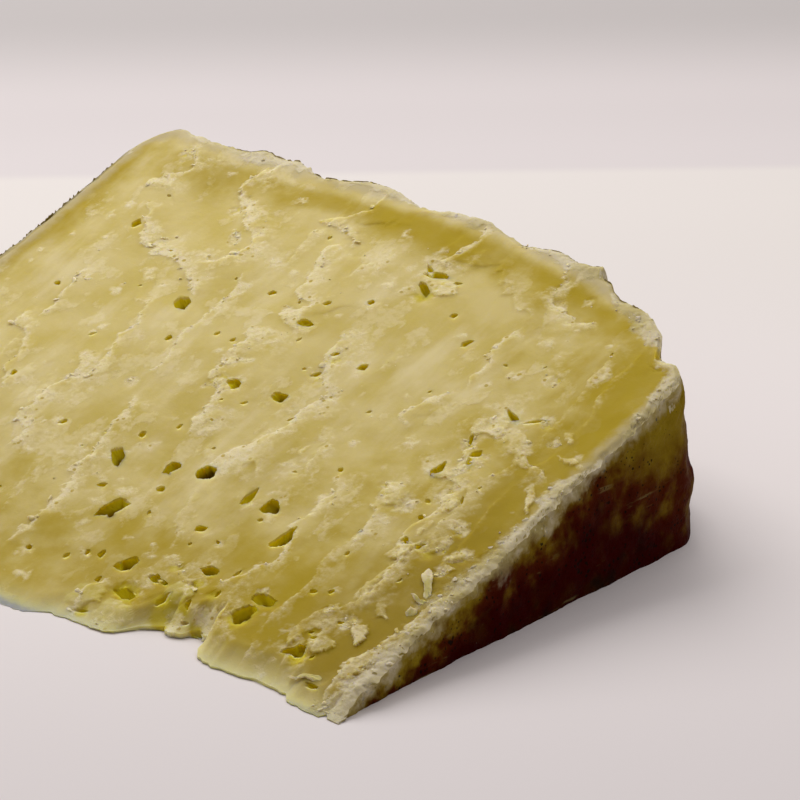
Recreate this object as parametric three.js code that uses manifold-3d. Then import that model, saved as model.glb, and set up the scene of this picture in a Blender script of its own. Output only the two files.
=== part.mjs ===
// Wedge of mature cheddar, cut from an upright cylindrical cheese and lying on
// one of its two cut faces.  Millimetres, +Z up.
//
// The cheese's axis runs along X and is the wedge's thin front edge.  A place
// on a cut face is given by x along that axis and r, the distance from it.
// +Y points from the thin edge to the rind, the lower cut face lies flat on
// z = 0, and the upper one climbs to the rind at the back.  The origin is the
// middle of the lower face.

import * as THREE from 'three';
import { mergeVertices } from 'three/addons/utils/BufferGeometryUtils.js';
import Module from 'manifold-3d';

// ---- driving dimensions ----

const WHEEL_RADIUS = 105;
const WHEEL_HEIGHT = 127;
const WEDGE_ANGLE = 19;              // degrees between the two cut faces
const EDGE_THICKNESS = 0.8;          // the thin edge is blunt, not a knife edge
const BARREL_BULGE = 0.3;            // the rind is fullest at mid height

// Where the round side turns into an end: a tight rim on -X, a slumped shoulder on +X.
const RIM = { run: 6, drop: 11, power: 2 };
const SHOULDER = { run: 61, drop: 24, power: 1.75 };

const SCALLOP = { pitch: 23, height: 0.8, crest: 5 };   // waves that the binding left in the rind
const RIND_BUMP = 0.7;
const END_BUMP = 0.45;
const SWELL = 0.8;                   // slow waviness of the cut face
const CRUST_WIDTH = 3.2;             // crumbly band where the cut meets the rind
const CRUST_LIFT = 0.6;
const STEP_RUN = 8;                  // a step in the cut face fades over this distance

// Steps on the cut face, left by the blade: x and r at the rind side, x and r
// at the thin side, and the height.
const STEPS = [
  [-38, 98, -25, 81, 0.9],
  [-50, 84, -25, 70, 0.6],
  [-12.5, 104, -6, 71, 0.7],
  [-48.5, 68, -44, 48, 0.6],
  [-30.5, 66, -27, 30, 0.5],
  [-21, 76, -18, 52, 0.4],
  [-9, 66, -3, 46, 0.7],
  [-16, 44, -11.5, 12, 0.6],
  [9, 104, 7.5, 92, 0.7],
  [6.5, 69, 10, 45, 0.6],
  [20, 92, 19, 76, 0.4],
  [30, 98, 30.5, 62, 0.5],
  [29.5, 42, 31, 6, 0.6],
  [41, 68, 42, 48, 0.9],
  [37, 42, 41, 30, 0.4],
  [46, 40, 50, 20, 0.6],
];

// Torn, crumbly patches on the cut face: x, r and radius.
const TEARS = [
  [-52, 96, 4], [-31, 90, 4], [-40, 79, 5], [-14, 96, 4],
  [-7, 77, 4], [12, 88, 5], [36, 92, 5], [43, 74, 4],
  [8, 64, 6], [-5, 56, 6], [5, 54, 5], [42, 62, 6],
  [43, 54, 5], [38, 45, 5], [48, 46, 4], [48, 33, 5],
  [57, 31, 4], [24, 9, 7], [44, 12, 5], [52, 9, 5],
];

// The largest mechanical eyes: x, r, length, width and turn in degrees.
const EYES = [
  [-0.3, 22.7, 5.4, 4.4, 60],
  [8, 35.7, 3.6, 3.2, 120],
  [-8, 32.6, 6.6, 2.3, -38],
  [11, 13.6, 4.4, 3.2, 20],
  [17.5, 12.6, 3.6, 1.6, 0],
  [29.8, 28.5, 4.8, 2.9, 80],
  [23, 33.4, 3.8, 3, -30],
  [18.3, 33.6, 4.8, 1.9, 100],
  [24, 17.5, 3.9, 2, 0],
  [36.8, 15.6, 5.6, 2.6, -5],
  [36, 11.4, 4.6, 3.8, 70],
  [-24.6, 67.2, 6, 2.4, -38],
  [10.8, 90, 6.4, 1.8, 8],
  [11, 86, 5, 1.6, -35],
  [44, 66.6, 5.4, 1.7, -30],
  [6.8, 55, 3.6, 2.1, 0],
  [-2, 54, 3, 2.2, -20],
  [2, 34, 3.2, 2.7, 100],
  [41, 51.6, 4.4, 2.2, 110],
  [15.5, 8, 5.4, 2.4, -12],
  [48.6, 9, 3.8, 2.6, 30],
  [-1.5, 71.2, 2.9, 1.8, 15],
];
const SMALL_EYES = { count: 26, least: 1.5, most: 2.6 };

// Shards that stand up from the cut face: x, r, length, width, turn and thickness.
const SHARDS = [
  [57.6, 52.6, 6, 1.9, -58, 1.3],
  [57.4, 29.8, 7.4, 1.8, -50, 1.4],
  [54.2, 17.5, 5.4, 3, -54, 1.2],
  [53.2, 6.4, 7, 1.2, 16, 1.2],
  [44.5, 4.8, 4, 1.7, -15, 1],
  [14.2, 3.4, 9, 7.4, -62, 1.3],
  [47.4, 47, 6.4, 2, -55, 1.2],
  [12.6, 87.8, 5, 3, -30, 1.1],
  [32.4, 8.6, 6.6, 2.2, -80, 1.3],
  [60.6, 20, 17, 4.4, 90, 1.7],
];

// Breaks along the thin edge: from x, to x and depth.
const BREAKS = [
  [18.5, 34, 4.4],
  [33, 53, 2.1],
  [60, 61.6, 1.4],
  [-52, -41, 1.8],
  [-27, -22, 1.2],
];
const EDGE_RAGGED = 0.5;

const GRID = { x: 60, r: 44, angle: 7 };
const END_CROWDING = 0.25;           // grid lines are this much denser near the ends
const PASTE_COLOUR = 0xc8b46e;
const SEED = 11;

// A unit box runs from -0.5 to 0.5, and these tell its faces apart.
const THIN_SIDE = -0.499;
const LOWER_FACE = -0.499;
const OUTER_SIDE = 0.499;

const HALF_HEIGHT = WHEEL_HEIGHT / 2;
const CUT_ANGLE = THREE.MathUtils.degToRad(WEDGE_ANGLE);
const CUT_NORMAL = new THREE.Vector3(0, -Math.sin(CUT_ANGLE), Math.cos(CUT_ANGLE));

// ---- repeatable noise ----

// A number from 0 to 1 for each whole-number place.
function hash(i, j, seed) {
  let h = Math.imul(i, 374761393) + Math.imul(j, 668265263) + Math.imul(seed, 974634777);
  h = Math.imul(h ^ (h >>> 13), 1274126177);
  return ((h ^ (h >>> 16)) >>> 0) / 4294967296;
}

function ease(t) {
  return t * t * (3 - 2 * t);
}

function smoothStep(low, high, value) {
  return ease(Math.min(1, Math.max(0, (value - low) / (high - low))));
}

// Smooth noise from -1 to 1.
function noise(x, y, seed) {
  const i = Math.floor(x);
  const j = Math.floor(y);
  const u = ease(x - i);
  const v = ease(y - j);
  const low = hash(i, j, seed) * (1 - u) + hash(i + 1, j, seed) * u;
  const high = hash(i, j + 1, seed) * (1 - u) + hash(i + 1, j + 1, seed) * u;
  return 2 * (low * (1 - v) + high * v) - 1;
}

// A fixed sequence of draws from 0 to 1.
function drawer(seed) {
  let count = 0;
  return () => {
    count += 1;
    return hash(count, seed * 7, seed);
  };
}

// ---- outline of the cheese ----

function cornerDrop(gap, corner) {
  if (gap >= corner.run) return 0;
  const turn = 1 - gap / corner.run;
  return corner.drop * (1 - (1 - turn ** corner.power) ** (1 / corner.power));
}

function outerRadius(x) {
  const across = x / HALF_HEIGHT;
  const corners = cornerDrop(x + HALF_HEIGHT, RIM) + cornerDrop(HALF_HEIGHT - x, SHOULDER);
  return WHEEL_RADIUS - BARREL_BULGE * across * across - corners;
}

// How far the thin edge has crumbled back from the axis at x.
function edgeLoss(x) {
  let loss = EDGE_RAGGED * 0.5 * (1 + noise(x / 4, 0, 21));
  for (const [from, to, depth] of BREAKS) {
    const inside = smoothStep(from, from + 1.6, x) * (1 - smoothStep(to - 1.6, to, x));
    loss += inside * depth * (1 + 0.22 * noise(x / 2.2, 3, 22));
  }
  return loss;
}

// ---- relief ----

// Each step lifts the face sharply on its +X side and fades away from there.
function stepRelief(x, r) {
  let lift = 0;
  for (const [rindX, rindR, thinX, thinR, height] of STEPS) {
    const along = (rindR - r) / (rindR - thinR);
    const lineX = rindX + (thinX - rindX) * along + 0.9 * noise(r / 5, rindX, 31);
    const ends = smoothStep(-0.12, 0.08, along) * (1 - smoothStep(0.92, 1.12, along));
    const past = x - lineX;
    const rise = smoothStep(-0.6, 0.6, past) * Math.exp(-Math.max(0, past) / STEP_RUN);
    lift += height * ends * rise;
  }
  return lift;
}

// 1 in the middle of a torn patch and 0 outside all of them.
function tearAmount(x, r) {
  let amount = 0;
  for (const [atX, atR, radius] of TEARS) {
    const reach = Math.hypot(x - atX, r - atR) / radius + 0.45 * noise(x / 2.6, r / 2.6, 41);
    amount = Math.max(amount, 1 - smoothStep(0.55, 0.95, reach));
  }
  return amount;
}

function cutFaceRelief(x, r) {
  const toRind = Math.min(outerRadius(x) - r, HALF_HEIGHT - Math.abs(x));
  const crust = 1 - smoothStep(CRUST_WIDTH * 0.4, CRUST_WIDTH, toRind + 0.8 * noise(x / 3, r / 3, 51));
  const roll = 1 - smoothStep(0, 1.2, toRind);
  const thin = smoothStep(0, 14, r);
  const swell = SWELL * noise(x / 38, r / 46, 1) + 0.3 * noise(x / 13, r / 19, 2);
  const torn = tearAmount(x, r) * (0.45 + 0.35 * noise(x / 1.9, r / 1.9, 42));
  const crumb = crust * CRUST_LIFT * (0.9 + 0.7 * noise(x / 2.4, r / 2.4, 52));
  return thin * (swell + stepRelief(x, r)) - torn + crumb - 0.7 * roll;
}

function rindRelief(x, arc) {
  const wave = Math.cos((2 * Math.PI * (x - SCALLOP.crest)) / SCALLOP.pitch + noise(x / 30, arc / 18, 61));
  const lumps = 0.7 * noise(x / 8, arc / 7, 62) + 0.3 * noise(x / 3.5, arc / 3.5, 63);
  return SCALLOP.height * wave + RIND_BUMP * lumps;
}

function endRelief(r, z, side) {
  return END_BUMP * (0.7 * noise(r / 9, z / 7, 71 + side) + 0.3 * noise(r / 3.5, z / 3.5, 74 + side));
}

// ---- the solid ----

// Bends a gridded box into the wedge: its X is the axis, its Y runs from the
// thin edge to the rind and its Z from the lower cut face to the upper one.
function wedgeGeometry() {
  const box = new THREE.BoxGeometry(1, 1, 1, GRID.x, GRID.r, GRID.angle);
  const position = box.attributes.position;
  for (let k = 0; k < position.count; k += 1) {
    if (position.getY(k) < THIN_SIDE) position.setZ(k, position.getZ(k) < 0 ? -0.5 : 0.5);
  }
  const geometry = bare(box);
  const base = baseTriangles(geometry);
  const sides = keptTriangles(geometry);
  geometry.setIndex(sides.concat(base));
  bendAll(geometry);
  return geometry;
}

// Triangles with an area that aren't in the lower face.
function keptTriangles(geometry) {
  const index = geometry.index.array;
  const position = geometry.attributes.position;
  const kept = [];
  for (let k = 0; k < index.length; k += 3) {
    const corners = [index[k], index[k + 1], index[k + 2]];
    const distinct = new Set(corners).size === 3;
    const lower = corners.every((corner) => position.getZ(corner) < LOWER_FACE);
    if (distinct && !lower) kept.push(...corners);
  }
  return kept;
}

// The flat lower face needs no grid: it is filled from its outline alone.
function baseTriangles(geometry) {
  const position = geometry.attributes.position;
  const outline = [];
  for (let k = 0; k < position.count; k += 1) {
    const x = position.getX(k);
    const y = position.getY(k);
    const onOutline = Math.max(Math.abs(x), Math.abs(y)) > OUTER_SIDE;
    if (position.getZ(k) < LOWER_FACE && onOutline) outline.push({ k, turn: Math.atan2(y, x) });
  }
  outline.sort((one, other) => one.turn - other.turn);
  const contour = outline.map(({ k }) => {
    const point = bendPoint(new THREE.Vector3().fromBufferAttribute(position, k));
    return new THREE.Vector2(point.x, point.y);
  });
  const triangles = THREE.ShapeUtils.triangulateShape(contour, []);
  return triangles.flatMap(([a, b, c]) => [outline[a].k, outline[c].k, outline[b].k]);
}

function bendAll(geometry) {
  const position = geometry.attributes.position;
  for (let k = 0; k < position.count; k += 1) {
    const point = bendPoint(new THREE.Vector3().fromBufferAttribute(position, k));
    position.setXYZ(k, point.x, point.y, point.z);
  }
}

function bendPoint(point) {
  const t = 2 * point.x;
  const out = point.y + 0.5;
  const turn = point.z + 0.5;
  const x = HALF_HEIGHT * t * (1 + END_CROWDING * (1 - t * t));
  const angle = turn * CUT_ANGLE;
  const loss = edgeLoss(x);
  const radius = outerRadius(x);
  const inner = new THREE.Vector3(x, loss, turn * (EDGE_THICKNESS + loss * Math.tan(CUT_ANGLE)));
  const outer = new THREE.Vector3(x, radius * Math.cos(angle), radius * Math.sin(angle));
  point.lerpVectors(inner, outer, out);
  const r = Math.hypot(point.y, point.z);
  if (turn > 0.999) point.addScaledVector(CUT_NORMAL, cutFaceRelief(x, r));
  if (out > 0.999) {
    const push = rindRelief(x, angle * radius);
    point.y += push * Math.cos(angle);
    point.z += push * Math.sin(angle);
  }
  if (Math.abs(t) > 0.999) point.x += Math.sign(t) * endRelief(r, point.z, t > 0 ? 1 : 0);
  if (turn < 0.001) point.z = 0;
  return point;
}

// The point of the upper cut face at x and r, raised by lift along its normal.
function onCutFace(x, r, lift) {
  const loss = edgeLoss(x);
  const blunt = EDGE_THICKNESS * Math.max(0, 1 - (r - loss) / (outerRadius(x) - loss));
  const point = new THREE.Vector3(x, r * Math.cos(CUT_ANGLE), r * Math.sin(CUT_ANGLE) + blunt);
  return point.addScaledVector(CUT_NORMAL, cutFaceRelief(x, r) + lift);
}

// Places a small shape on the cut face, its length along the face and turned in it.
function place(geometry, x, r, turn, lift) {
  geometry.rotateZ(THREE.MathUtils.degToRad(turn));
  geometry.rotateX(CUT_ANGLE);
  const at = onCutFace(x, r, lift);
  geometry.translate(at.x, at.y, at.z);
  return geometry;
}

function bare(geometry) {
  geometry.deleteAttribute('normal');
  geometry.deleteAttribute('uv');
  return mergeVertices(geometry, 1e-4);
}

function roughen(geometry, amount, draw) {
  const position = geometry.attributes.position;
  for (let k = 0; k < position.count; k += 1) {
    const scale = 1 + amount * (2 * draw() - 1);
    position.setXYZ(k, position.getX(k) * scale, position.getY(k) * scale, position.getZ(k) * scale);
  }
  return geometry;
}

// An angular opening, cut as deep as it is wide.
function eyeGeometry([x, r, length, width, turn], seed) {
  const draw = drawer(seed);
  const geometry = roughen(bare(new THREE.IcosahedronGeometry(1, 0)), 0.22, draw);
  geometry.scale(length / 2, width / 2, Math.max(1.1, 0.55 * width + 0.4));
  return place(geometry, x, r, turn, -0.25);
}

// A thin, pointed flake that leans out of the face.
function shardGeometry([x, r, length, width, turn, thickness], seed) {
  const draw = drawer(seed);
  const plate = new THREE.CylinderGeometry(0.85, 1, 1, 7, 1);
  plate.rotateX(Math.PI / 2);
  const geometry = roughen(bare(plate), 0.16, draw);
  geometry.scale(length / 2, width / 2, thickness);
  geometry.rotateX(0.12);
  return place(geometry, x, r, turn, 0.05);
}

// Small eyes, mostly in the half nearer to the thin edge.
function smallEyes() {
  const draw = drawer(SEED);
  const list = [];
  while (list.length < SMALL_EYES.count) {
    const x = (2 * draw() - 1) * (HALF_HEIGHT - 9);
    const r = 9 + 84 * draw() ** 1.25;
    const length = SMALL_EYES.least + (SMALL_EYES.most - SMALL_EYES.least) * draw() ** 2;
    const eye = [x, r, length, length * (0.6 + 0.3 * draw()), 180 * draw()];
    const all = EYES.concat(list);
    const clear = all.every((other) => Math.hypot(other[0] - x, other[1] - r) > 5);
    if (clear && r < outerRadius(x) - 8) list.push(eye);
  }
  return list;
}

// ---- joining and cutting ----

const wasm = await Module();
wasm.setup();

function toSolid(geometry) {
  const vertProperties = new Float32Array(geometry.attributes.position.array);
  const triVerts = new Uint32Array(geometry.index.array);
  return new wasm.Manifold(new wasm.Mesh({ numProp: 3, vertProperties, triVerts }));
}

function toGeometry(solid) {
  const mesh = solid.getMesh();
  const geometry = new THREE.BufferGeometry();
  geometry.setAttribute('position', new THREE.BufferAttribute(mesh.vertProperties, 3));
  geometry.setIndex(new THREE.BufferAttribute(mesh.triVerts, 1));
  geometry.computeVertexNormals();
  return geometry;
}

function cheeseSolid() {
  let solid = toSolid(wedgeGeometry());
  SHARDS.forEach((shard, k) => {
    solid = solid.add(toSolid(shardGeometry(shard, 100 + k)));
  });
  EYES.concat(smallEyes()).forEach((eye, k) => {
    solid = solid.subtract(toSolid(eyeGeometry(eye, 200 + k)));
  });
  const below = bare(new THREE.BoxGeometry(2 * WHEEL_HEIGHT, 3 * WHEEL_RADIUS, WHEEL_RADIUS));
  below.translate(0, WHEEL_RADIUS / 2, -WHEEL_RADIUS / 2);
  return solid.subtract(toSolid(below));
}

const paste = new THREE.MeshStandardMaterial({
  color: PASTE_COLOUR,
  roughness: 0.55,
  metalness: 0,
});

const cheese = new THREE.Mesh(toGeometry(cheeseSolid()), paste);
cheese.name = 'cheese_wedge';
cheese.position.y = -WHEEL_RADIUS / 2;

const model = new THREE.Group();
model.add(cheese);

export default model;
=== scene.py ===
# A wedge of mature cheddar on a pale surface, lit softly from its left.
#
# The cheese's axis runs along X at the wedge's thin front edge.  A place on a
# cut face is given by x along that axis and r, the distance from it.  Shapes
# are worked out in millimetres, with the axis at y = 0, and turned into the
# frame's metres when a mesh is made.
import math

import bmesh
import bpy
import numpy as np
from mathutils import Matrix, Vector
from mathutils.geometry import tessellate_polygon


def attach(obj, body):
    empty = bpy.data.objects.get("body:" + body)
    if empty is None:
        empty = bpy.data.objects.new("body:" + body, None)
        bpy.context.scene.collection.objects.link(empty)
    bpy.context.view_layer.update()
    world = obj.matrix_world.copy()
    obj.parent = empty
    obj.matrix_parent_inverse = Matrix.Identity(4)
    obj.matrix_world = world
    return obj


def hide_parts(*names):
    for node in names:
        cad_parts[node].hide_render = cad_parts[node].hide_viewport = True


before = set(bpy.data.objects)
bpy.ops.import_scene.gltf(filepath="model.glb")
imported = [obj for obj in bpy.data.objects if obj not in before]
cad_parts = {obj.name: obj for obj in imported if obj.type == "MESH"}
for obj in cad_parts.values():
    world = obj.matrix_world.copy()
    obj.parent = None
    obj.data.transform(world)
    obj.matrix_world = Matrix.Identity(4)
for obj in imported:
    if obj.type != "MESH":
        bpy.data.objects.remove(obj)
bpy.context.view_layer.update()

MM = 0.001
NODE = "cheese_wedge"

# ---- sizes of the cheese, in millimetres and degrees ----

WHEEL_RADIUS = 105.0
WHEEL_HEIGHT = 127.0
WEDGE_ANGLE = 19.0
EDGE_THICKNESS = 0.8
LEAST_THICKNESS = 0.3
BARREL_BULGE = 0.3
RIM = {"run": 6.0, "drop": 11.0, "power": 2.0}
SHOULDER = {"run": 61.0, "drop": 24.0, "power": 1.75}
SCALLOP = {"pitch": 23.0, "height": 0.8, "crest": 5.0}
RIND_BUMP = 0.7
END_BUMP = 0.45
SWELL = 0.8
CRUST_WIDTH = 3.2
CRUST_LIFT = 0.12
STEP = {"run": 5.5, "scale": 0.6, "fade": (6, 14), "window": 17}
EDGE_RAGGED = 0.5
FEATHER = {"width": 4.6, "left": 0.3}

# Edges where a layer of paste tore off, seen from above: height, width of the whitish
# torn border, and places (x, r).  The higher side is on the left hand of the chain.
COASTS = [
    (0.5, 2.2, [(-53, 103), (-50.5, 99), (-49.5, 96.5), (-53.8, 94), (-53.5, 91)]),
    (0.6, 2.4, [(-50, 87), (-48, 82.5), (-43.5, 78.2), (-38, 77.4), (-34, 75), (-28, 72.6), (-25, 69.5)]),
    (0.8, 2.0, [(-36.2, 103), (-36, 99.5), (-37.8, 96.5), (-31.5, 90.2), (-25.5, 83), (-24.5, 80.8),
        (-30, 79.6)]),
    (0.7, 1.2, [(-12.5, 104), (-12, 99.8), (-14.5, 97.6), (-18, 95.4), (-15, 93.2), (-9.5, 92)]),
    (0.6, 2.2, [(-11, 90.5), (-11.7, 87), (-10.2, 84), (-8, 77), (-5.3, 74.6), (-7.5, 71.5), (-1, 69.5)]),
    (0.4, 1.6, [(-21.5, 77), (-20.3, 74), (-19.8, 69), (-18.4, 56), (-17.8, 51)]),
    (0.5, 1.4, [(-48, 67), (-47, 62), (-46, 59), (-44.8, 55)]),
    (0.7, 1.4, [(-49, 54), (-46, 50), (-43, 46.8), (-41.3, 42.5), (-38, 38)]),
    (0.6, 1.6, [(-32.5, 65.5), (-29.5, 62), (-28.4, 59.8), (-29.5, 57), (-27.5, 53.8), (-25.5, 46)]),
    (0.8, 3.4, [(-9.2, 67), (-8, 62.8), (-9.2, 60.2), (-7, 55), (-5.5, 52), (-3, 47), (-2, 43)]),
    (0.6, 1.6, [(-15.8, 45), (-15, 40.5), (-13.5, 38), (-12.4, 29), (-11.3, 18), (-10.5, 9)]),
    (0.5, 2.6, [(-31, 49), (-28.5, 46), (-29.6, 43), (-30.2, 40), (-29.4, 34), (-27, 27)]),
    (0.7, 2.0, [(9.5, 104), (10.2, 99.5), (8.6, 96), (7.6, 93.2), (10, 91)]),
    (0.6, 2.6, [(5.5, 71.5), (7.5, 66), (8.6, 62.5), (12.3, 57.8), (11, 53), (11.5, 45), (7, 37)]),
    (0.5, 1.6, [(29.6, 101), (30.2, 95.5)]),
    (0.7, 1.3, [(41, 90.8), (38.2, 89.8), (37, 91.3), (34, 91.5), (31.5, 93.3), (30.3, 95.6)]),
    (0.4, 1.2, [(31, 84), (30, 80), (30.8, 74), (31, 70.5)]),
    (0.5, 2.2, [(30, 67), (28, 63.5), (26.5, 61), (29, 58.5)]),
    (0.5, 2.2, [(41, 59), (43, 56.5), (45, 53.2)]),
    (0.4, 1.4, [(57, 56), (52.5, 60), (49, 62.5), (46.2, 64.2)]),
    (0.8, 1.8, [(40.5, 51), (46, 48.6), (46, 46), (47.5, 44), (46.6, 41), (46.8, 35.5), (49, 31),
        (50.2, 22.5)]),
    (0.5, 2.6, [(36.5, 40.2), (38, 37.8), (39, 35.5), (40.3, 32.5)]),
    (0.5, 1.3, [(29.2, 39.5), (30, 36), (29.8, 32), (30.8, 25), (30.2, 20.5), (28.5, 15)]),
    (0.35, 1.0, [(26, 10.5), (25.2, 12.8), (23, 14.9), (19.8, 15.8), (16.5, 18)]),
    (0.7, 1.2, [(9.3, 9.5), (7.4, 6), (8.6, 3.6), (9.3, 0.5)]),
    (0.8, 2.0, [(61, 28), (59.6, 24), (60.2, 20.5), (58.4, 13.8), (57, 11.5), (58.6, 7.5), (60.5, 1)]),
]

# Torn, crumbly patches: x, r and radius.
TEARS = [
    (-52.4, 100, 2.2), (-51.6, 93, 2.0), (-34, 91.4, 1.8), (-28.5, 85, 2.4), (-40, 78.5, 2.6),
    (-9.5, 85, 2.0), (-7, 73, 1.8), (-6.5, 59, 3.4), (-5, 54, 2.6), (-18.5, 48, 1.8), (-28.5, 44.5, 2.6),
    (8.6, 66, 2.6), (9.4, 61, 2.4), (31, 96.5, 1.8), (33, 91.8, 2.0), (37, 94.5, 1.6), (13.2, 87.6, 2.4),
    (41.8, 63.6, 3.2), (41.5, 58.5, 2.2), (45, 55, 3.4), (50, 67.5, 1.8), (54, 64.5, 2.0),
    (37.5, 45, 2.8), (42, 42.5, 2.4), (46.8, 47, 2.6), (48, 34.5, 2.6), (57, 36.5, 2.2), (57, 33, 1.8),
    (14.4, 58.6, 1.8), (44.4, 76, 2.2), (22, 10.2, 1.2), (45, 12.4, 1.5), (47, 18.6, 1.4),
    (51.5, 17.8, 2.2), (50.6, 11.4, 1.8), (54, 41.6, 1.7), (50.6, 36, 1.8), (53.4, 37, 1.8),
    (21.5, 23, 1.2), (8, 91, 1.8), (35.4, 16.8, 1.2), (42.6, 42.4, 1.8), (37, 43, 1.6),
]

# Pale, slightly raised blotches of bruised paste: x, r and radius.
BRUISES = [
    (-52, 85.5, 1.4), (-57, 81.2, 1.3), (-53, 81.3, 1.2), (-46, 75, 0.9), (-36, 72, 1.6),
    (-41.5, 99, 0.7), (-25, 97.4, 1.1), (-17, 82, 1.2), (-22, 87.5, 0.7), (-38, 66, 1.0),
    (-45, 66.5, 1.0), (-56, 75, 0.7), (-50, 76, 0.7), (-47, 53.5, 1.3), (-35.5, 41, 1.3),
    (-18, 24.5, 1.0), (-23, 28, 1.0), (-23, 32, 0.6), (-3.5, 5, 1.0), (-8, 11, 1.1), (3, 39, 0.7),
    (14.3, 23, 0.8), (7, 23.6, 0.6), (19.5, 42.5, 1.5), (29, 38.5, 0.8), (44.7, 22.3, 1.0),
    (52.5, 42, 1.4), (57.5, 37, 1.4), (53, 38, 1.6), (38, 83.4, 1.1), (51.5, 79.5, 1.4), (39, 75, 1.2),
    (37, 75, 0.8), (35, 71.5, 1.2), (45.5, 4, 1.8), (44.5, 11.5, 1.3), (32, 55, 1.5), (35.5, 56, 0.8),
    (24.5, 51, 1.0), (22, 49, 1.0), (26, 74.5, 1.1), (23.5, 80, 1.0), (5, 84.5, 1.6), (2, 75, 0.8),
    (6.5, 73, 1.0), (0, 88.6, 1.6), (-1, 96, 1.0), (-16, 95.2, 1.8), (-13, 81, 0.8), (-5.5, 43.5, 1.4),
    (51, 60.5, 1.6), (47, 50, 1.2), (54, 16, 1.4), (60, 61, 1.6), (-33, 57, 0.9),
]
MORE_BRUISES = {"count": 90, "least": 0.3, "most": 1.0, "seed": 17}

# Broad hollows where crumbs broke away: x, r, radius and depth.
DENTS = [
    (15, 8.2, 3.0, 0.8), (23.4, 8, 4.0, 1.1), (29.4, 7.6, 1.6, 0.9), (36.4, 10.6, 3.0, 0.7),
    (49.4, 8.0, 2.0, 0.8), (21.6, 9.6, 1.6, 0.6), (11.2, 2.6, 1.9, 0.5), (24.4, 14.2, 1.8, 0.5),
    (28.4, 13.2, 1.2, 0.4), (19, 15.8, 1.3, 0.4), (52.5, 34.6, 1.8, 0.3), (11.5, 85.2, 3.0, 0.5),
]

# Pieces of a layer left standing: x, r, radius and height.
ISLES = [
    (13.3, 87.8, 2.2, 0.25), (38, 44.8, 2.4, 0.3), (-14.8, 95.2, 2.0, 0.2), (48.2, 33.6, 1.7, 0.4),
]

# The largest eyes: x, r, length, width and turn in degrees.
EYES = [
    (-0.3, 22.7, 5.4, 4.4, 60), (8, 35.7, 3.6, 3.2, 120), (-8, 32.6, 6.6, 2.3, -38),
    (11, 13.6, 4.4, 3.2, 20), (17.5, 12.6, 3.6, 1.6, 0), (29.8, 28.5, 4.8, 2.9, 80),
    (23, 33.4, 3.8, 3, -30), (18.3, 33.6, 4.8, 1.9, 100), (24, 17.5, 3.9, 2, 0),
    (36.8, 15.6, 5.6, 2.6, -5), (36, 11.4, 4.6, 3.8, 70), (-24.6, 67.2, 6, 2.4, -38),
    (10.8, 90, 6.4, 1.8, 8), (11, 86, 5, 1.6, -35), (44, 66.6, 5.4, 1.7, -30), (6.8, 55, 3.6, 2.1, 0),
    (-2, 54, 3, 2.2, -20), (2, 34, 3.2, 2.7, 100), (41, 51.6, 4.4, 2.2, 110), (15.5, 8, 5.4, 2.4, -12),
    (48.6, 9, 3.8, 2.6, 30), (-1.5, 71.2, 2.9, 1.8, 15),
]
SMALL_EYES = {"count": 26, "least": 1.5, "most": 2.6}
SEED = 11

# Crevices, most of them near the thin edge, given like the eyes.
CREVICES = [
    (21.8, 9.8, 3.0, 1.1, 70), (26.2, 10.2, 2.0, 1.0, -70), (29.4, 7.9, 2.8, 1.5, 10),
    (27.2, 8.3, 1.4, 0.7, 20), (9.0, 9.0, 1.8, 1.2, 100), (11.2, 2.7, 3.6, 0.9, 14),
    (5.5, 13.9, 2.2, 1.5, -60), (19.2, 12.4, 2.6, 0.9, -8), (29.2, 13.9, 1.5, 0.8, 80),
    (28.7, 19.0, 1.8, 0.9, 85), (47.4, 36.0, 1.7, 1.4, -40), (45.8, 41.5, 1.2, 1.1, 0),
    (50.4, 17.0, 1.2, 0.8, 20), (49.2, 12.5, 1.3, 0.9, 0), (55.6, 4.4, 4.2, 0.9, 4),
    (47.6, 66.8, 3.8, 0.8, 32), (41.3, 59.4, 3.2, 0.8, -60), (44.5, 54.9, 3.0, 0.8, -55),
    (49.4, 47.3, 2.2, 0.6, -60), (8.2, 90.6, 4.4, 1.0, -45),
]

# How far the crust's lip stands out over the round side, below 0 where it is cut back:
# x and reach.
LIP = [
    (-63, 0.3), (-50, 0.7), (-41, 1.4), (-32, 2.0), (-26, 0.5), (-19, 1.3), (-10, 0.8), (-5, -0.3),
    (1, 0.7), (7, -0.3), (12.5, -0.3), (15, 0.2), (20, 0.3), (27, 0), (30, 1.0), (33.5, 2.2), (37, 1.8),
    (41, 0.4), (48, 0), (51.2, -0.5), (52.5, -0.3), (53.6, -0.4), (54.6, -1.9), (56.6, -2.2),
    (58.4, -1.0), (60, 0.2), (62, 0.9), (63.5, 1.4),
]

# The same over the far end and the near end: reach and unevenness.
END_LIPS = [(0.75, 0.04), (0.0, 0.45)]

# Lumps and hollows of the round side: x, height along it, radius and how far they stand out.
RIND_SPOTS = [(53.8, 26.5, 3.0, -2.0), (62.5, 16.5, 1.6, 0.8), (62.5, 9.0, 2.4, 1.1)]

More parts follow.
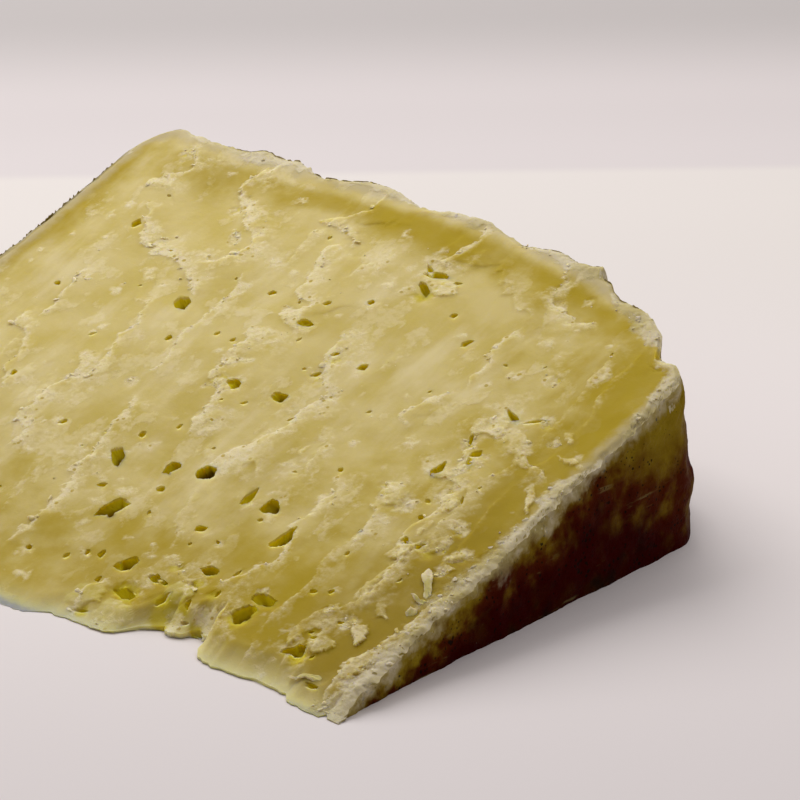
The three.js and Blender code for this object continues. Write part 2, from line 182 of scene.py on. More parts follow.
# How far the thin edge has broken back, below 0 where it reaches further: x and loss.
EDGE_LINE = [
    (-53, 0.2), (-50.5, 2.0), (-43, 2.0), (-41, 0.2), (-35, 0.2), (-32, -1.8), (-27, -1.8), (-25.5, -0.6),
    (-23, -0.6), (-22, -1.8), (-9, -1.8), (-6, -2.7), (3, -2.7), (7, -0.3), (17.5, 0), (19.2, 1.4),
    (20, 2.6), (21, 4.4), (22.5, 5.4), (24.3, 6.2), (24.7, 5.6), (26, 5.2), (27.2, 5.5), (27.9, 6),
    (28.4, 7), (29.6, 7.2), (32.0, 7.2), (33.0, 3.6), (34.4, 2.4), (36, 2.0), (38, 1.6), (43, 1.5),
    (45.5, 2.2), (52.2, 1.8), (53.8, 0), (58, -0.4), (60.4, -0.7), (61, 0.5), (61.8, -0.3),
]

# Plates of paste left standing: height, how clear and how white they are, and their
# outline (x, r).  They are highest at their right and lower sides, where they tore off.
PLATES = [
    (0.5, 0.0, 0.9, [(50.6, 19.4), (52.6, 16.8), (54, 15.4), (55.8, 13.7), (56.5, 15.2), (56.2, 17.2),
        (54.8, 18.6), (53.2, 17.9), (51.4, 19.8)]),
    (0.3, 0.1, 0.5, [(51.8, 23.6), (53.2, 21.4), (54.4, 20.4), (56.5, 20.8), (55.6, 22), (53.6, 23.2)]),
    (0.4, 0.0, 0.7, [(58, 13.2), (59.2, 14.2), (60.6, 13.6), (60.8, 10), (60.4, 7.2), (58.8, 7.2),
        (57.6, 8.4), (56.9, 9.6), (56.9, 11), (57.8, 12.2)]),
    (0.2, 0.0, 0.6, [(43.6, 4.8), (45, 4.7), (46.6, 4.3), (47.1, 3.6), (46.2, 3.2), (44.8, 3.6)]),
    (0.4, 0.0, 0.7, [(46.9, 34.5), (47.4, 33), (48.2, 31.9), (49.4, 31.3), (50.4, 31.8), (50, 33.4),
        (49.6, 35.2), (48.6, 36.8), (48.4, 35), (47.6, 35.1)]),
    (0.4, 0.2, 0.5, [(55.2, 36), (56.2, 38.4), (57.6, 37.8), (58, 36), (57, 35.2), (55.8, 35)]),
    (0.3, 0.0, 0.7, [(55, 34.6), (56.6, 33.4), (58.4, 32.8), (59.4, 34.4), (57.6, 34.2)]),
    (0.3, 0.8, 0.3, [(6.8, 6.4), (8.6, 7.8), (10.8, 7.9), (12.4, 7), (13, 4.8), (11.4, 3.6), (9, 3),
        (7.2, 3.4)]),
    (0.5, 1.0, 0.45, [(13.2, 4.6), (13.6, 6.4), (14.4, 6.2), (15.6, 6.6), (17, 6.4), (18.2, 6.2),
        (19.4, 5.6), (19.8, 4.2), (19.6, 2.6), (19.2, 0.6), (18, 0), (15.2, 0), (13.8, 1), (13.4, 3.2)]),
    (0.4, 0.1, 0.8, [(23.2, 8.2), (24, 9.2), (25.6, 9.4), (27, 8.6), (27.6, 7.4), (27, 6), (26.2, 5.2),
        (24.8, 5.6), (23.8, 6.8)]),
    (0.5, 0.2, 0.95, [(25.6, 10.6), (27.6, 10.8), (30, 11.4), (32.4, 11.6), (33.4, 9.8), (33, 8.2),
        (32.4, 7), (31.6, 7), (30.8, 7.8), (30, 8.4), (28.8, 8.8), (27.8, 9.4), (26.6, 10)]),
    (0.4, 0.9, 0.3, [(20.4, 11.8), (22, 13.6), (25, 14), (26, 12.2), (25.4, 10.2), (22.8, 9.8),
        (21.2, 10.2)]),
    (0.3, 0.7, 0.3, [(23.0, 8.8), (24.4, 9.8), (26, 8.6), (25.2, 7.2), (23.8, 7.4)]),
    (0.4, 0.3, 0.6, [(47.8, 13), (50.4, 14.2), (53, 13), (53.2, 10.6), (51.6, 9.6), (49.6, 10.8)]),
    (0.4, 0.1, 0.6, [(44.2, 13.2), (46.4, 13.6), (47.6, 11.4), (46.6, 9.4), (45.2, 10.6)]),
    (0.3, 0.1, 0.6, [(45.8, 19.8), (47.6, 20.2), (48.6, 18.2), (47.2, 17.2), (46.2, 18.2)]),
    (0.3, 0.1, 0.5, [(47.2, 41), (48.6, 41.4), (49, 38.4), (48.6, 36.9), (47.6, 38.2)]),
    (0.3, 0.3, 0.4, [(48.4, 30.8), (49.7, 31), (50, 27), (49.6, 22.4), (48.9, 22.6), (48.6, 26.4)]),
    (0.3, 0.2, 0.5, [(51, 38), (53.6, 40.2), (54.4, 37.2), (53.4, 35.6), (51.6, 35.8)]),
    (0.3, 0.1, 0.7, [(10.6, 88.4), (12.4, 89.6), (15.4, 89.0), (15.9, 87.2), (14, 85.8), (11.6, 86)]),
    (0.3, 0.1, 0.8, [(38.7, 64.4), (39.3, 62.2), (40.6, 61), (42.8, 61.6), (44.6, 61.4), (45.2, 63.4),
        (44, 64.8), (42.9, 66.4), (42, 66.2), (40.4, 65.2)]),
    (0.15, 0.1, 0.5, [(45, 64.4), (46.8, 63.8), (49.2, 61.6), (51.6, 59.8), (54.3, 57.2), (53.4, 56.6),
        (50.4, 58.4), (48, 60.2), (45.6, 61.6)]),
    (0.4, 0.0, 0.85, [(56.5, 54.7), (57.4, 54.4), (58.8, 53), (60.3, 51.2), (60.6, 48.4), (59.2, 49.8),
        (57.8, 51.8), (56.8, 53.2)]),
    (0.35, 0.1, 0.6, [(44.2, 49.7), (46.4, 49.3), (49, 47.4), (49.4, 45.4), (48.9, 43.4), (47.4, 44.8),
        (46.6, 47)]),
    (0.3, 0.0, 0.7, [(55.6, 62.2), (57, 61.6), (59, 62.5), (61, 61.2), (59.4, 60.2), (57.2, 60.8)]),
    (0.25, 0.1, 0.6, [(53.4, 67.5), (55, 66.9), (57.2, 64.8), (56.2, 64.3), (54.4, 65.4)]),
    (0.3, 0.3, 0.5, [(36, 44), (38, 47), (40.6, 45.6), (40.8, 42.4), (38.4, 41)]),
]

# Flakes that stick out: thickness, rise of their outer end, the direction in degrees
# towards that end, and their outline (x, r).
FLAKES = [
    (0.35, 0.7, 128, [(55.2, 31), (55.8, 32.1), (57.2, 30.6), (58.2, 29), (59.2, 27.2), (60.4, 26.2),
        (59.8, 25.4), (59, 26), (57.8, 27.6), (56.6, 29.2), (55.4, 30.4)]),
    (0.3, 0.7, 176, [(56.5, 26.1), (57.6, 26.2), (59.4, 26.5), (60.4, 26), (59.4, 25.6), (57.4, 25.7)]),
    (0.4, 0.5, 140, [(58.2, 24.3), (59.3, 24.2), (59.8, 23.4), (59.3, 22.6), (58.7, 22.2), (58.2, 22.9)]),
    (0.4, 0.5, 190, [(50.6, 4.6), (52.4, 5.4), (54.6, 6), (56.8, 6.8), (57.4, 6.2), (55, 5.2),
        (52.6, 4.7)]),
]

HALF_HEIGHT = WHEEL_HEIGHT / 2
# The frame's origin lies this far from the axis.
MIDDLE_Y = WHEEL_RADIUS / 2
CUT_ANGLE = math.radians(WEDGE_ANGLE)
CUT_OUT = np.array([0.0, math.cos(CUT_ANGLE), math.sin(CUT_ANGLE)])
CUT_NORMAL = np.array([0.0, -math.sin(CUT_ANGLE), math.cos(CUT_ANGLE)])
ALONG_X = np.array([1.0, 0.0, 0.0])

# Grid of the fine body and the triangles it may have in the end.  Its thin edge has fewer
# layers, and its columns crowd towards both ends.
GRID = {"x": 480, "r": 396, "angle": 80}
THIN_LAYERS = 4
END_CROWDING = 0.12
# Last share of the way to the round side and to an end, over which their relief sets in.
RELIEF_REACH = {"r": 0.08, "x": 0.04}
BODY_TRIANGLES = 194_000
SHARP_ANGLE = math.radians(48)

# Cutters of the eyes, the small eyes, the pinholes and the crevices: depth as a share of
# the width and what is added to it, how finely their ball is split, and seed.
EYE_CUTS = [(0.38, 0.5, 4, 21), (0.36, 0.4, 3, 22), (0.32, 0.3, 2, 23), (0.35, 0.55, 3, 24)]
# Eyes whose depth doesn't follow from their width, by their place in the list.
EYE_DEPTHS = {0: 2.0, 1: 5.0, 2: 1.7, 5: 1.9, 9: 1.3, 10: 1.5}
# How far small eyes and pinholes keep from other eyes and from the round side.
EYE_GAPS = {"small": 5, "small_rind": 8, "pinhole": 2.6, "pinhole_rind": 6}
# The second lobe of a large eye: its size and how far off it lies, as shares of the first.
LOBE = {"size": 0.62, "shift": 0.6, "split": 3, "seed": 31}
PINHOLES = {"count": 50, "least": 0.7, "most": 1.6, "seed": 5}
# Random planes that shape a lump, and how near to its middle they may come, as a share.
EYE_FACETS, EYE_LEAST = 9, 0.62
CRUMB_FACETS, CRUMB_LEAST = 7, 0.5
CRUMB_SPLIT = 2
# How many places are tried at once for each crumb or leaf.
TRIES = 20
LEAF_RINGS, LEAF_SPOKES, LEAF_LOBES = 3, 14, 0.1
FLAKE_RINGS, FLAKE_SPOKES = 7, 64

# Where a place counts as inside an eye: depth below the face, and distances from the rind,
# from the thin edge and from the base.
PIT = {"depth": 0.2, "rind": 3.5, "edge": 1.0, "base": 0.2}
# Where a triangle has the rind's material: near the round side but not near the thin edge,
# or near an end, and steep against both cut faces.
RIND_ZONE = {"round": 2.6, "least_r": 60, "end": 1.2, "steep": 0.62, "steep_base": 0.8}

# ---- camera, light and colours ----

CAMERA = {
    "azimuth": math.radians(40.68),
    "elevation": math.radians(22.52),
    "distance": 746.35,
    "right": 57.26,
    "up": 29.92,
    "lens": 225.0,
    "sensor": 36,
    "clip": (0.01, 20),
}
# Area lights: name, place and size in metres, power in watts and tint.
LIGHTS = [
    ("key", (-0.42, 0.16, 0.56), (0.6, 0.6), 4.2, (1.0, 0.985, 0.97)),
    ("top", (0.1, 0.35, 0.75), (0.8, 0.5), 2.0, (1.0, 0.99, 0.985)),
]
LIGHT_TARGET = (0, 0, 0.01)
WORLD_LIGHT = 0.272
WORLD_TINT = (1.0, 0.975, 0.97, 1)
FLOOR_SIZE = 6.0

WAX_IOR = 1.44
SCATTER = (1.0, 0.92, 0.3)
SCATTER_MM = {"paste": 2.6, "crumb": 0.2, "flake": 0.25}


def colour(red, green, blue):
    """A colour for a socket from its eight-bit screen values."""
    linear = []
    for value in (red, green, blue):
        v = value / 255
        linear.append(v / 12.92 if v <= 0.04045 else ((v + 0.055) / 1.055) ** 2.4)
    return (*linear, 1.0)


PASTE_PALE = colour(204, 185, 118)
PASTE_WARM = colour(194, 173, 92)
# Golds of the paste. The deeper gold towards the near end and the thin edge is partly painted shade.
PASTE_GOLD = colour(168, 143, 10)
PASTE_DEEP = colour(150, 125, 0)
# Painted light shining through the thin edge.
THIN_EDGE_GLOW = colour(226, 214, 156)
CRUMB_WHITE = colour(230, 216, 176)
FLAKE_PALE = colour(194, 182, 100)
CRUST_GREY = colour(184, 170, 136)
CRUST_WHITE = colour(212, 200, 170)
CRUST_GREEN = colour(184, 169, 116)
# Eye tones: painted light near the rim, painted shade deeper in.
PIT_OLIVE = colour(214, 196, 20)
PIT_DEEP = colour(170, 142, 9)
PIT_SHADE = colour(82, 38, 2)
# Painted shade in the broad dents where crumbs broke away.
HOLLOW_SHADE = colour(194, 174, 40)
# Rind tones. The change from olive to dark brown with depth below the cut is partly the rind's own tone:
# painted light near the cut, painted shade further down.
RIND_OLIVE = colour(142, 119, 24)
RIND_BROWN = colour(76, 25, 2)
RIND_DARK = colour(54, 2, 0)
RIND_BLACK = colour(20, 12, 6)
RIND_MOULD = colour(150, 136, 84)
EDGE_SHADE = colour(134, 119, 88)

# Tones of an eye, and the depths over which each comes in: a bright olive near the rim,
# painted light shining through the paste, then darker tones deeper in, painted shade.
PIT_TONES = [(0.0, 0.25, PIT_OLIVE), (0.75, 1.5, PIT_DEEP), (1.1, 2.5, PIT_SHADE)]

# Painted light and shade of the sheet by how far behind the wedge's middle they lie, in
# millimetres, measured roughly along the direction that the photo looks in: lightest just
# behind the wedge, then a darker line and darker still beyond, where a backdrop would bend up.
FLOOR_ANGLE = math.radians(43)
FLOOR_VIEW = (-math.sin(FLOOR_ANGLE), math.cos(FLOOR_ANGLE))
FLOOR_LIGHT_AND_SHADE = [
    (-110, colour(223, 215, 215)),
    (20, colour(230, 222, 221)),
    (120, colour(224, 217, 213)),
    (144, colour(223, 216, 212)),
    (149, colour(214, 206, 206)),
    (185, colour(209, 201, 201)),
    (240, colour(184, 178, 177)),
]

# ---- repeatable noise ----
#
# In calls of noise(), ragged() and facets(), places are divided by a feature's size or
# followed by it, in millimetres, and the last number is the seed.


def hash01(i, j, seed):
    """A number from 0 to 1 for each whole-number place."""
    mask = 0xFFFFFFFF
    i = np.asarray(i, dtype=np.int64)
    j = np.asarray(j, dtype=np.int64)
    h = (i * 374761393 + j * 668265263 + (seed * 974634777 & mask)) & mask
    h = ((h ^ (h >> 13)) * 1274126177) & mask
    return (h ^ (h >> 16)) / 4294967296.0


def ease(t):
    """A share from 0 to 1 with a soft start and end."""
    return t * t * (3 - 2 * t)


def smooth_step(low, high, value):
    """A smooth change from 0 to 1 as value goes from low to high."""
    return ease(np.clip((value - low) / (high - low), 0, 1))


def plateau(value, start, full, fading, end):
    """1 from full to fading, falling to 0 at start and end."""
    return smooth_step(start, full, value) * (1 - smooth_step(fading, end, value))


def between(least, most, share):
    """The value that lies a share of the way from least to most."""
    return least + (most - least) * share


def unit(vectors):
    """Vectors brought to length 1."""
    return vectors / np.linalg.norm(vectors, axis=-1)[..., None]


def noise(x, y, seed):
    """Smooth noise from -1 to 1."""
    x, y = np.broadcast_arrays(np.asarray(x, float), np.asarray(y, float))
    i = np.floor(x)
    j = np.floor(y)
    u = ease(x - i)
    v = ease(y - j)
    low = hash01(i, j, seed) * (1 - u) + hash01(i + 1, j, seed) * u
    high = hash01(i, j + 1, seed) * (1 - u) + hash01(i + 1, j + 1, seed) * u
    return 2 * (low * (1 - v) + high * v) - 1


def ragged(x, y, size, octaves, seed):
    """Noise with finer and finer detail, the coarsest of the given size."""
    total = 0.0
    scale = 1.0
    for k in range(octaves):
        angle = 0.6 + 1.1 * k
        u = x * math.cos(angle) + y * math.sin(angle)
        v = y * math.cos(angle) - x * math.sin(angle)
        total = total + scale * noise(u / size, v / size, seed + k)
        size *= 0.5
        scale *= 0.55
    return total


def facets(x, y, size, seed):
    """Broken facets: each cell has its own height and slope, from about -1 to 1."""
    i = np.floor(x / size)
    j = np.floor(y / size)
    nearest = np.full(x.shape, np.inf)
    height = np.zeros(x.shape)
    for di in (-1, 0, 1):
        for dj in (-1, 0, 1):
            a, b = i + di, j + dj
            dx = x / size - a - 0.15 - 0.7 * hash01(a, b, seed)
            dy = y / size - b - 0.15 - 0.7 * hash01(a, b, seed + 1)
            level = 2 * hash01(a, b, seed + 2) - 1
            slope_x = 1.6 * hash01(a, b, seed + 3) - 0.8
            slope_y = 1.6 * hash01(a, b, seed + 4) - 0.8
            away = dx * dx + dy * dy
            closer = away < nearest
            nearest = np.where(closer, away, nearest)
            height = np.where(closer, 0.8 * level + slope_x * dx + slope_y * dy, height)
    return height


# ---- outline of the cheese ----


def corner_drop(gap, corner):
    """How far a rounded corner brings the radius down at a distance from its end."""
    turn = np.clip(1 - gap / corner["run"], 0, 1)
    return corner["drop"] * (1 - (1 - turn ** corner["power"]) ** (1 / corner["power"]))


def outer_radius(x):
    """Distance from the axis to the round side at x."""
    across = x / HALF_HEIGHT
    corners = corner_drop(x + HALF_HEIGHT, RIM) + corner_drop(HALF_HEIGHT - x, SHOULDER)
    return WHEEL_RADIUS - BARREL_BULGE * across * across - corners


def edge_loss(x):
    """How far the thin edge has crumbled back from the axis at x."""
    loss = EDGE_RAGGED * 0.5 * (1 + noise(x / 4, 0, 21)) + 0.22 * noise(x / 0.9, 3, 22)
    return loss + np.interp(x, *zip(*EDGE_LINE))


def feathered(points, x):
    """Points of the body with the thin edge brought down to a feather."""
    y = points[..., 1]
    share = FEATHER["left"] + (1 - FEATHER["left"]) * smooth_step(0, FEATHER["width"], y - edge_loss(x))
    points[..., 2] *= share
    return points


def rind_gap(x, r):
    """Distance from a place on a cut face to the rind, millimetres."""
    return np.minimum(outer_radius(x) - r, HALF_HEIGHT - np.abs(x))


# ---- relief of the cut face ----


def chain_place(x, r, points):
    """Distance to a chain of points, positive on its left hand, and the way along it."""
    best = np.full(x.shape, np.inf)
    signed = np.zeros(x.shape)
    along = np.zeros(x.shape)
    start = 0.0
    for k in range(len(points) - 1):
        dx = points[k + 1][0] - points[k][0]
        dr = points[k + 1][1] - points[k][1]
        length = math.hypot(dx, dr)
        px, pr = x - points[k][0], r - points[k][1]
        way = (px * dx + pr * dr) / length
        side = (dx * pr - dr * px) / length
        distance = np.hypot(way - np.clip(way, 0, length), side)
        rank = distance - 0.001 * np.abs(side)
        closer = rank < best
        best = np.where(closer, rank, best)
        signed = np.where(closer, np.copysign(distance, side), signed)
        first = -math.inf if k == 0 else 0.0
        last = math.inf if k == len(points) - 2 else length
        along = np.where(closer, start + np.clip(way, first, last), along)
        start += length
    return signed, along, start


def around(x, r, outline, margin):
    """Which places lie in the box around an outline, widened by a margin."""
    xs, rs = zip(*outline)
    beside = (x > min(xs) - margin) & (x < max(xs) + margin)
    return beside & (r > min(rs) - margin) & (r < max(rs) + margin)


def raise_to(field, where, values):
    """Raises part of a field to values that are higher."""
    field[where] = np.maximum(field[where], values)


def step_fields(x, r):
    """The lift that torn layers give, their whitish borders and their brinks."""
    lift = np.zeros(x.shape)
    fringe = np.zeros(x.shape)
    brink = np.zeros(x.shape)
    u = x + 1.3 * ragged(x, r, 5.0, 5, 300)
    v = r + 1.3 * ragged(x, r, 5.0, 5, 310)
    patchy = smooth_step(-0.7, 0.8, ragged(x, r, 4.0, 4, 320))
    for height, width, points in COASTS:
        near = around(x, r, points, STEP["window"])
        if not near.any():
            continue
        past, along, total = chain_place(u[near], v[near], points)
        inside = np.maximum(past, 0)
        taper = 1.0 + 0.9 * inside
        ends = plateau(along, -2.0, taper, total - taper, total + 2.0)
        reach = width * (0.4 + 1.5 * patchy[near])
        rise = 0.32 * smooth_step(-0.14, 0.14, past) + 0.68 * smooth_step(0, 1, inside / reach)
        fall = np.exp(-inside / STEP["run"]) * (1 - smooth_step(*STEP["fade"], inside))
        lift[near] += STEP["scale"] * height * ends * rise * fall
        tips = plateau(along, -2.0, 0.5, total - 0.5, total + 2.0)
        crest = smooth_step(-0.2, 0.1, past) * np.exp(-(inside / reach) ** 1.5) * tips
        raise_to(fringe, near, crest)
        raise_to(brink, near, plateau(past, -0.1, 0.1, 0.3, 0.8) * tips)
    return lift, fringe, brink


def spots(x, r, places, waviness, inner, outer):
    """1 inside each ragged round place and 0 outside, with the value it carries."""
    amount = np.zeros(x.shape)
    for at_x, at_r, radius, *value in places:
        near = (np.abs(x - at_x) < 1.9 * radius) & (np.abs(r - at_r) < 1.9 * radius)
        if not near.any():
            continue
        reach = np.hypot(x[near] - at_x, r[near] - at_r) / radius + waviness[near]
        raise_to(amount, near, (1 - smooth_step(inner, outer, reach)) * (value[0] if value else 1.0))
    return amount


def inside_depth(x, r, outline):
    """Distance to an outline, positive inside it."""
    away = np.full(x.shape, np.inf)
    inside = np.zeros(x.shape, dtype=bool)
    for (x0, r0), (x1, r1) in zip(outline, outline[1:] + outline[:1]):
        dx, dr = x1 - x0, r1 - r0
        way = np.clip(((x - x0) * dx + (r - r0) * dr) / (dx * dx + dr * dr), 0, 1)
        away = np.minimum(away, np.hypot(x - x0 - way * dx, r - r0 - way * dr))
        if dr:
            crosses = (r0 > r) != (r1 > r)
            inside ^= crosses & (x < x0 + (r - r0) * dx / dr)
    return np.where(inside, away, -away)


def plate_amount(x, r):
    """How far plates stand up, and how clear and how white they are."""
    height = np.zeros(x.shape)
    clear = np.zeros(x.shape)
    white = np.zeros(x.shape)
    u = x + 0.45 * ragged(x, r, 1.5, 5, 430)
    v = r + 0.45 * ragged(x, r, 1.5, 5, 436)
    for lift, clearness, whiteness, outline in PLATES:
        near = around(x, r, outline, 1.5)
        if not near.any():
            continue
        xs, rs = zip(*outline)
        depth = inside_depth(u[near], v[near], outline)
        size = max(max(xs) - min(xs), max(rs) - min(rs))
        lean = ((x[near] - sum(xs) / len(xs)) - (r[near] - sum(rs) / len(rs))) / size
        lean = np.clip(0.55 + 0.7 * lean, 0.1, 1)
        area = smooth_step(-0.05, 0.2, depth)
        raise_to(height, near, lift * lean * smooth_step(-0.05, 0.35, depth))
        raise_to(clear, near, clearness * area)
        raise_to(white, near, whiteness * area * (0.7 + 0.4 * lean))
    return height, clear, white


def haze_amount(x, r):
    """Whitish veils where the blade dragged, sharp on their low side and fading beyond."""
    wander = 6.5 * ragged(x, r * 0.5, 15.0, 6, 400)
    field = (x + 0.12 * r + wander) / 9.0
    past = field - np.floor(field)
    veil = smooth_step(0, 0.03, past) * (1 - past) ** 2.2
    active = smooth_step(-0.15, 0.75, ragged(x, r, 13.0, 4, 420) + x / 220)
    return veil * active


def more_bruises():
    """Small bruises scattered over the whole face."""
    draw = np.random.default_rng(MORE_BRUISES["seed"])
    count = MORE_BRUISES["count"]
    x = draw.uniform(-HALF_HEIGHT + 4, HALF_HEIGHT - 5, size=count)
    r = 4 + 94 * draw.random(count)
    radius = between(MORE_BRUISES["least"], MORE_BRUISES["most"], draw.random(count) ** 2)
    return list(zip(x, r, radius))


def crust_amount(x, r):
    """1 on the crumbly band along the rind and 0 further in."""
    gap = rind_gap(x, r)
    slump = smooth_step(50, 60, x) * (1 - smooth_step(22, 34, r))
    patchy = smooth_step(-0.9, 0.9, ragged(x, r, 9.0, 3, 465))
    width = (1.0 + 1.2 * smooth_step(30, 60, x)) * (0.35 + 1.3 * patchy) + 1.8 * slump
    width = width * (1 - 0.8 * smooth_step(-50, -58, x))
    return 1 - smooth_step(0.3, 1.7, (gap + 1.0 * ragged(x, r, 3.2, 5, 460)) / width)


def face_marks(x, r):
    """Where layers, tears, hollows, bruises, crust, veils and plates are on the cut face."""
    wavy = 0.35 * ragged(x, r, 2.6, 4, 440)
    mottled = 2.2 * wavy + 0.55 * ragged(x, r, 1.3, 4, 450)
    bend_x = x + 0.5 * ragged(x, r, 1.7, 2, 470)
    bend_r = r + 0.5 * ragged(x, r, 1.7, 2, 475)
    large = facets(bend_x, bend_r * 0.8, 1.9, 480)
    small = facets(bend_x, bend_r, 0.8, 490)
    borders = [(eye[0] - 0.25 * eye[2], eye[1] - 0.1 * eye[2], 0.75 * eye[2]) for eye in EYES + small_eyes()]
    lift, fringe, brink = step_fields(x, r)
    plate, clear, plate_white = plate_amount(x, r)
    return {
        "gap": rind_gap(x, r), "lift": lift, "fringe": fringe, "brink": brink,
        "tear": spots(x, r, TEARS, wavy, 0.45, 0.95),
        "isle": spots(x, r, ISLES, wavy, 0.75, 0.95),
        "dent": spots(x, r, DENTS, wavy, 0.1, 1.0),
        "bruise": spots(x, r, BRUISES + more_bruises(), mottled, -0.1, 1.25),
        "border": spots(x, r, borders[::2], mottled, 0.3, 1.2),
        "crust": crust_amount(x, r), "haze": haze_amount(x, r),
        "plate": plate, "clear": clear, "plate_white": plate_white,
        "large": large, "small": small, "broken": 0.5 * large + 0.5 * small,
        "lumps": facets(bend_x, bend_r, 2.3, 485),
    }


def face_relief(x, r, marks):
    """Height of the cut face above its plane."""
    gap, dent, small = marks["gap"], marks["dent"], marks["small"]
    thin = smooth_step(0, 14, r)
    band = 1 - smooth_step(CRUST_WIDTH * 0.4, CRUST_WIDTH, gap + 0.8 * noise(x / 3, r / 3, 51))
    roll = 1 - smooth_step(0, 1.2, gap)
    swell = SWELL * noise(x / 38, r / 46, 1) + 0.3 * noise(x / 13, r / 19, 2)
    relief = swell * thin + marks["lift"] * (0.45 + 0.55 * thin) + 0.6 * marks["isle"] - 0.6 * dent
    relief = relief + 0.45 * dent * marks["lumps"]
    relief = relief + marks["tear"] * (0.12 * marks["broken"] - 0.12) + 0.05 * marks["fringe"] * small
    relief = relief + band * CRUST_LIFT * (0.9 + 0.7 * noise(x / 2.4, r / 2.4, 52)) - 0.6 * roll
    relief = relief + marks["plate"] + 0.14 * marks["haze"] * smooth_step(2, 8, gap)
    relief = relief + marks["crust"] * (0.13 * small + 0.08 * marks["large"])
    relief = relief + 0.03 * marks["bruise"] * (1 + small)
    return relief + 0.05 * ragged(x, r, 4.0, 3, 495)


def face_white(marks):
    """How white the cut face is, from 0 to about 1: most where it is freshly torn."""
    whites = [
        0.9 * marks["fringe"],
        marks["tear"] * (0.62 + 0.3 * marks["broken"]),
        0.8 * marks["bruise"],
        0.6 * marks["border"],
        0.5 * smooth_step(0, 0.3, marks["isle"]),
        0.62 * marks["haze"] * smooth_step(5, 14, marks["gap"]),
    ]
    white = np.maximum.reduce(whites) * (1 - 0.7 * smooth_step(0.1, 0.5, marks["dent"]))
    return np.maximum(white, marks["plate_white"])


def cut_face(x, r):
    """The relief of the upper cut face and its masks, by place."""
    x, r = np.asarray(x, float), np.asarray(r, float)
    marks = face_marks(x, r)
    return {
        "relief": face_relief(x, r, marks),
        "white": face_white(marks),
        "crust": marks["crust"],
        "broken": marks["tear"] * np.minimum(marks["broken"], 0),
        "brink": marks["brink"],
        "lift": marks["lift"] + marks["isle"] + marks["plate"],
        "tear": marks["tear"],
        "dent": marks["dent"],
        "plate": marks["clear"],
    }


# ---- relief of the rind ----


def rind_relief(x, arc):
    """How far the round side stands out, by x and the way up along its arc."""
    turn = arc / (CUT_ANGLE * outer_radius(x))
    lip = np.interp(x, *zip(*LIP)) * (1 + 0.4 * ragged(x, 0 * x, 3.0, 3, 530))
    lip = lip * smooth_step(0.55, 0.97, turn)
    wave = np.cos(2 * math.pi * (x - SCALLOP["crest"]) / SCALLOP["pitch"] + noise(x / 30, arc / 18, 61))
    lumps = 0.7 * noise(x / 8, arc / 7, 62) + 0.3 * noise(x / 3.5, arc / 3.5, 63)
    fine = 0.16 * ragged(x, arc, 2.6, 4, 510)
    for at_x, at_arc, radius, reach in RIND_SPOTS:
        fine = fine + reach * np.exp(-((x - at_x) ** 2 + (arc - at_arc) ** 2) / radius ** 2)
    corner = 0.9 * smooth_step(54, 61, x) * np.maximum(noise(0 * x, arc / 2.6, 540), 0)
    return SCALLOP["height"] * wave + RIND_BUMP * lumps + fine + lip + corner


def end_relief(r, z, side):
    """How far the far end (side 0) or the near end (side 1) stands out."""
    shape = 0.7 * noise(r / 9, z / 7, 71 + side) + 0.3 * noise(r / 3.5, z / 3.5, 74 + side)
    near_top = smooth_step(0.7, 1.0, z / (r * math.sin(CUT_ANGLE)))
    reach, unevenness = END_LIPS[side]
    lip = near_top * (reach + unevenness * ragged(r, z, 2.4, 4, 525))
    return END_BUMP * shape + 0.16 * ragged(r, z, 2.6, 4, 520) + lip


# ---- meshes ----


def new_object(name, points_mm, triangles):
    """A mesh object from points in the working frame, linked to the scene."""
    points = np.array(points_mm, dtype=np.float32) * MM
    points[:, 1] -= MIDDLE_Y * MM
    triangles = np.array(triangles, dtype=np.int32)
    mesh = bpy.data.meshes.new(name)
    mesh.vertices.add(len(points))
    mesh.vertices.foreach_set("co", points.ravel())
    mesh.loops.add(3 * len(triangles))
    mesh.loops.foreach_set("vertex_index", triangles.ravel())
    mesh.polygons.add(len(triangles))
    mesh.polygons.foreach_set("loop_start", np.arange(0, 3 * len(triangles), 3, dtype=np.int32))
    mesh.polygons.foreach_set("use_smooth", np.ones(len(triangles), dtype=bool))
    mesh.update(calc_edges=True)
    mesh.validate()
    obj = bpy.data.objects.new(name, mesh)
    bpy.context.scene.collection.objects.link(obj)
    return obj


def joined(name, shapes):
    """One mesh object of several (points, triangles) shapes."""
    points, triangles, start = [], [], 0
    for shape_points, shape_triangles in shapes:
        points.append(shape_points)
        triangles.append(shape_triangles + start)
        start += len(shape_points)
    return new_object(name, np.concatenate(points), np.concatenate(triangles))


def copies(name, points, triangles):
    """One mesh object of many shapes, each with its own points and the same triangles."""
    count, size = points.shape[:2]
    starts = np.arange(count)[:, None, None] * size
    return new_object(name, points.reshape(-1, 3), (triangles[None] + starts).reshape(-1, 3))


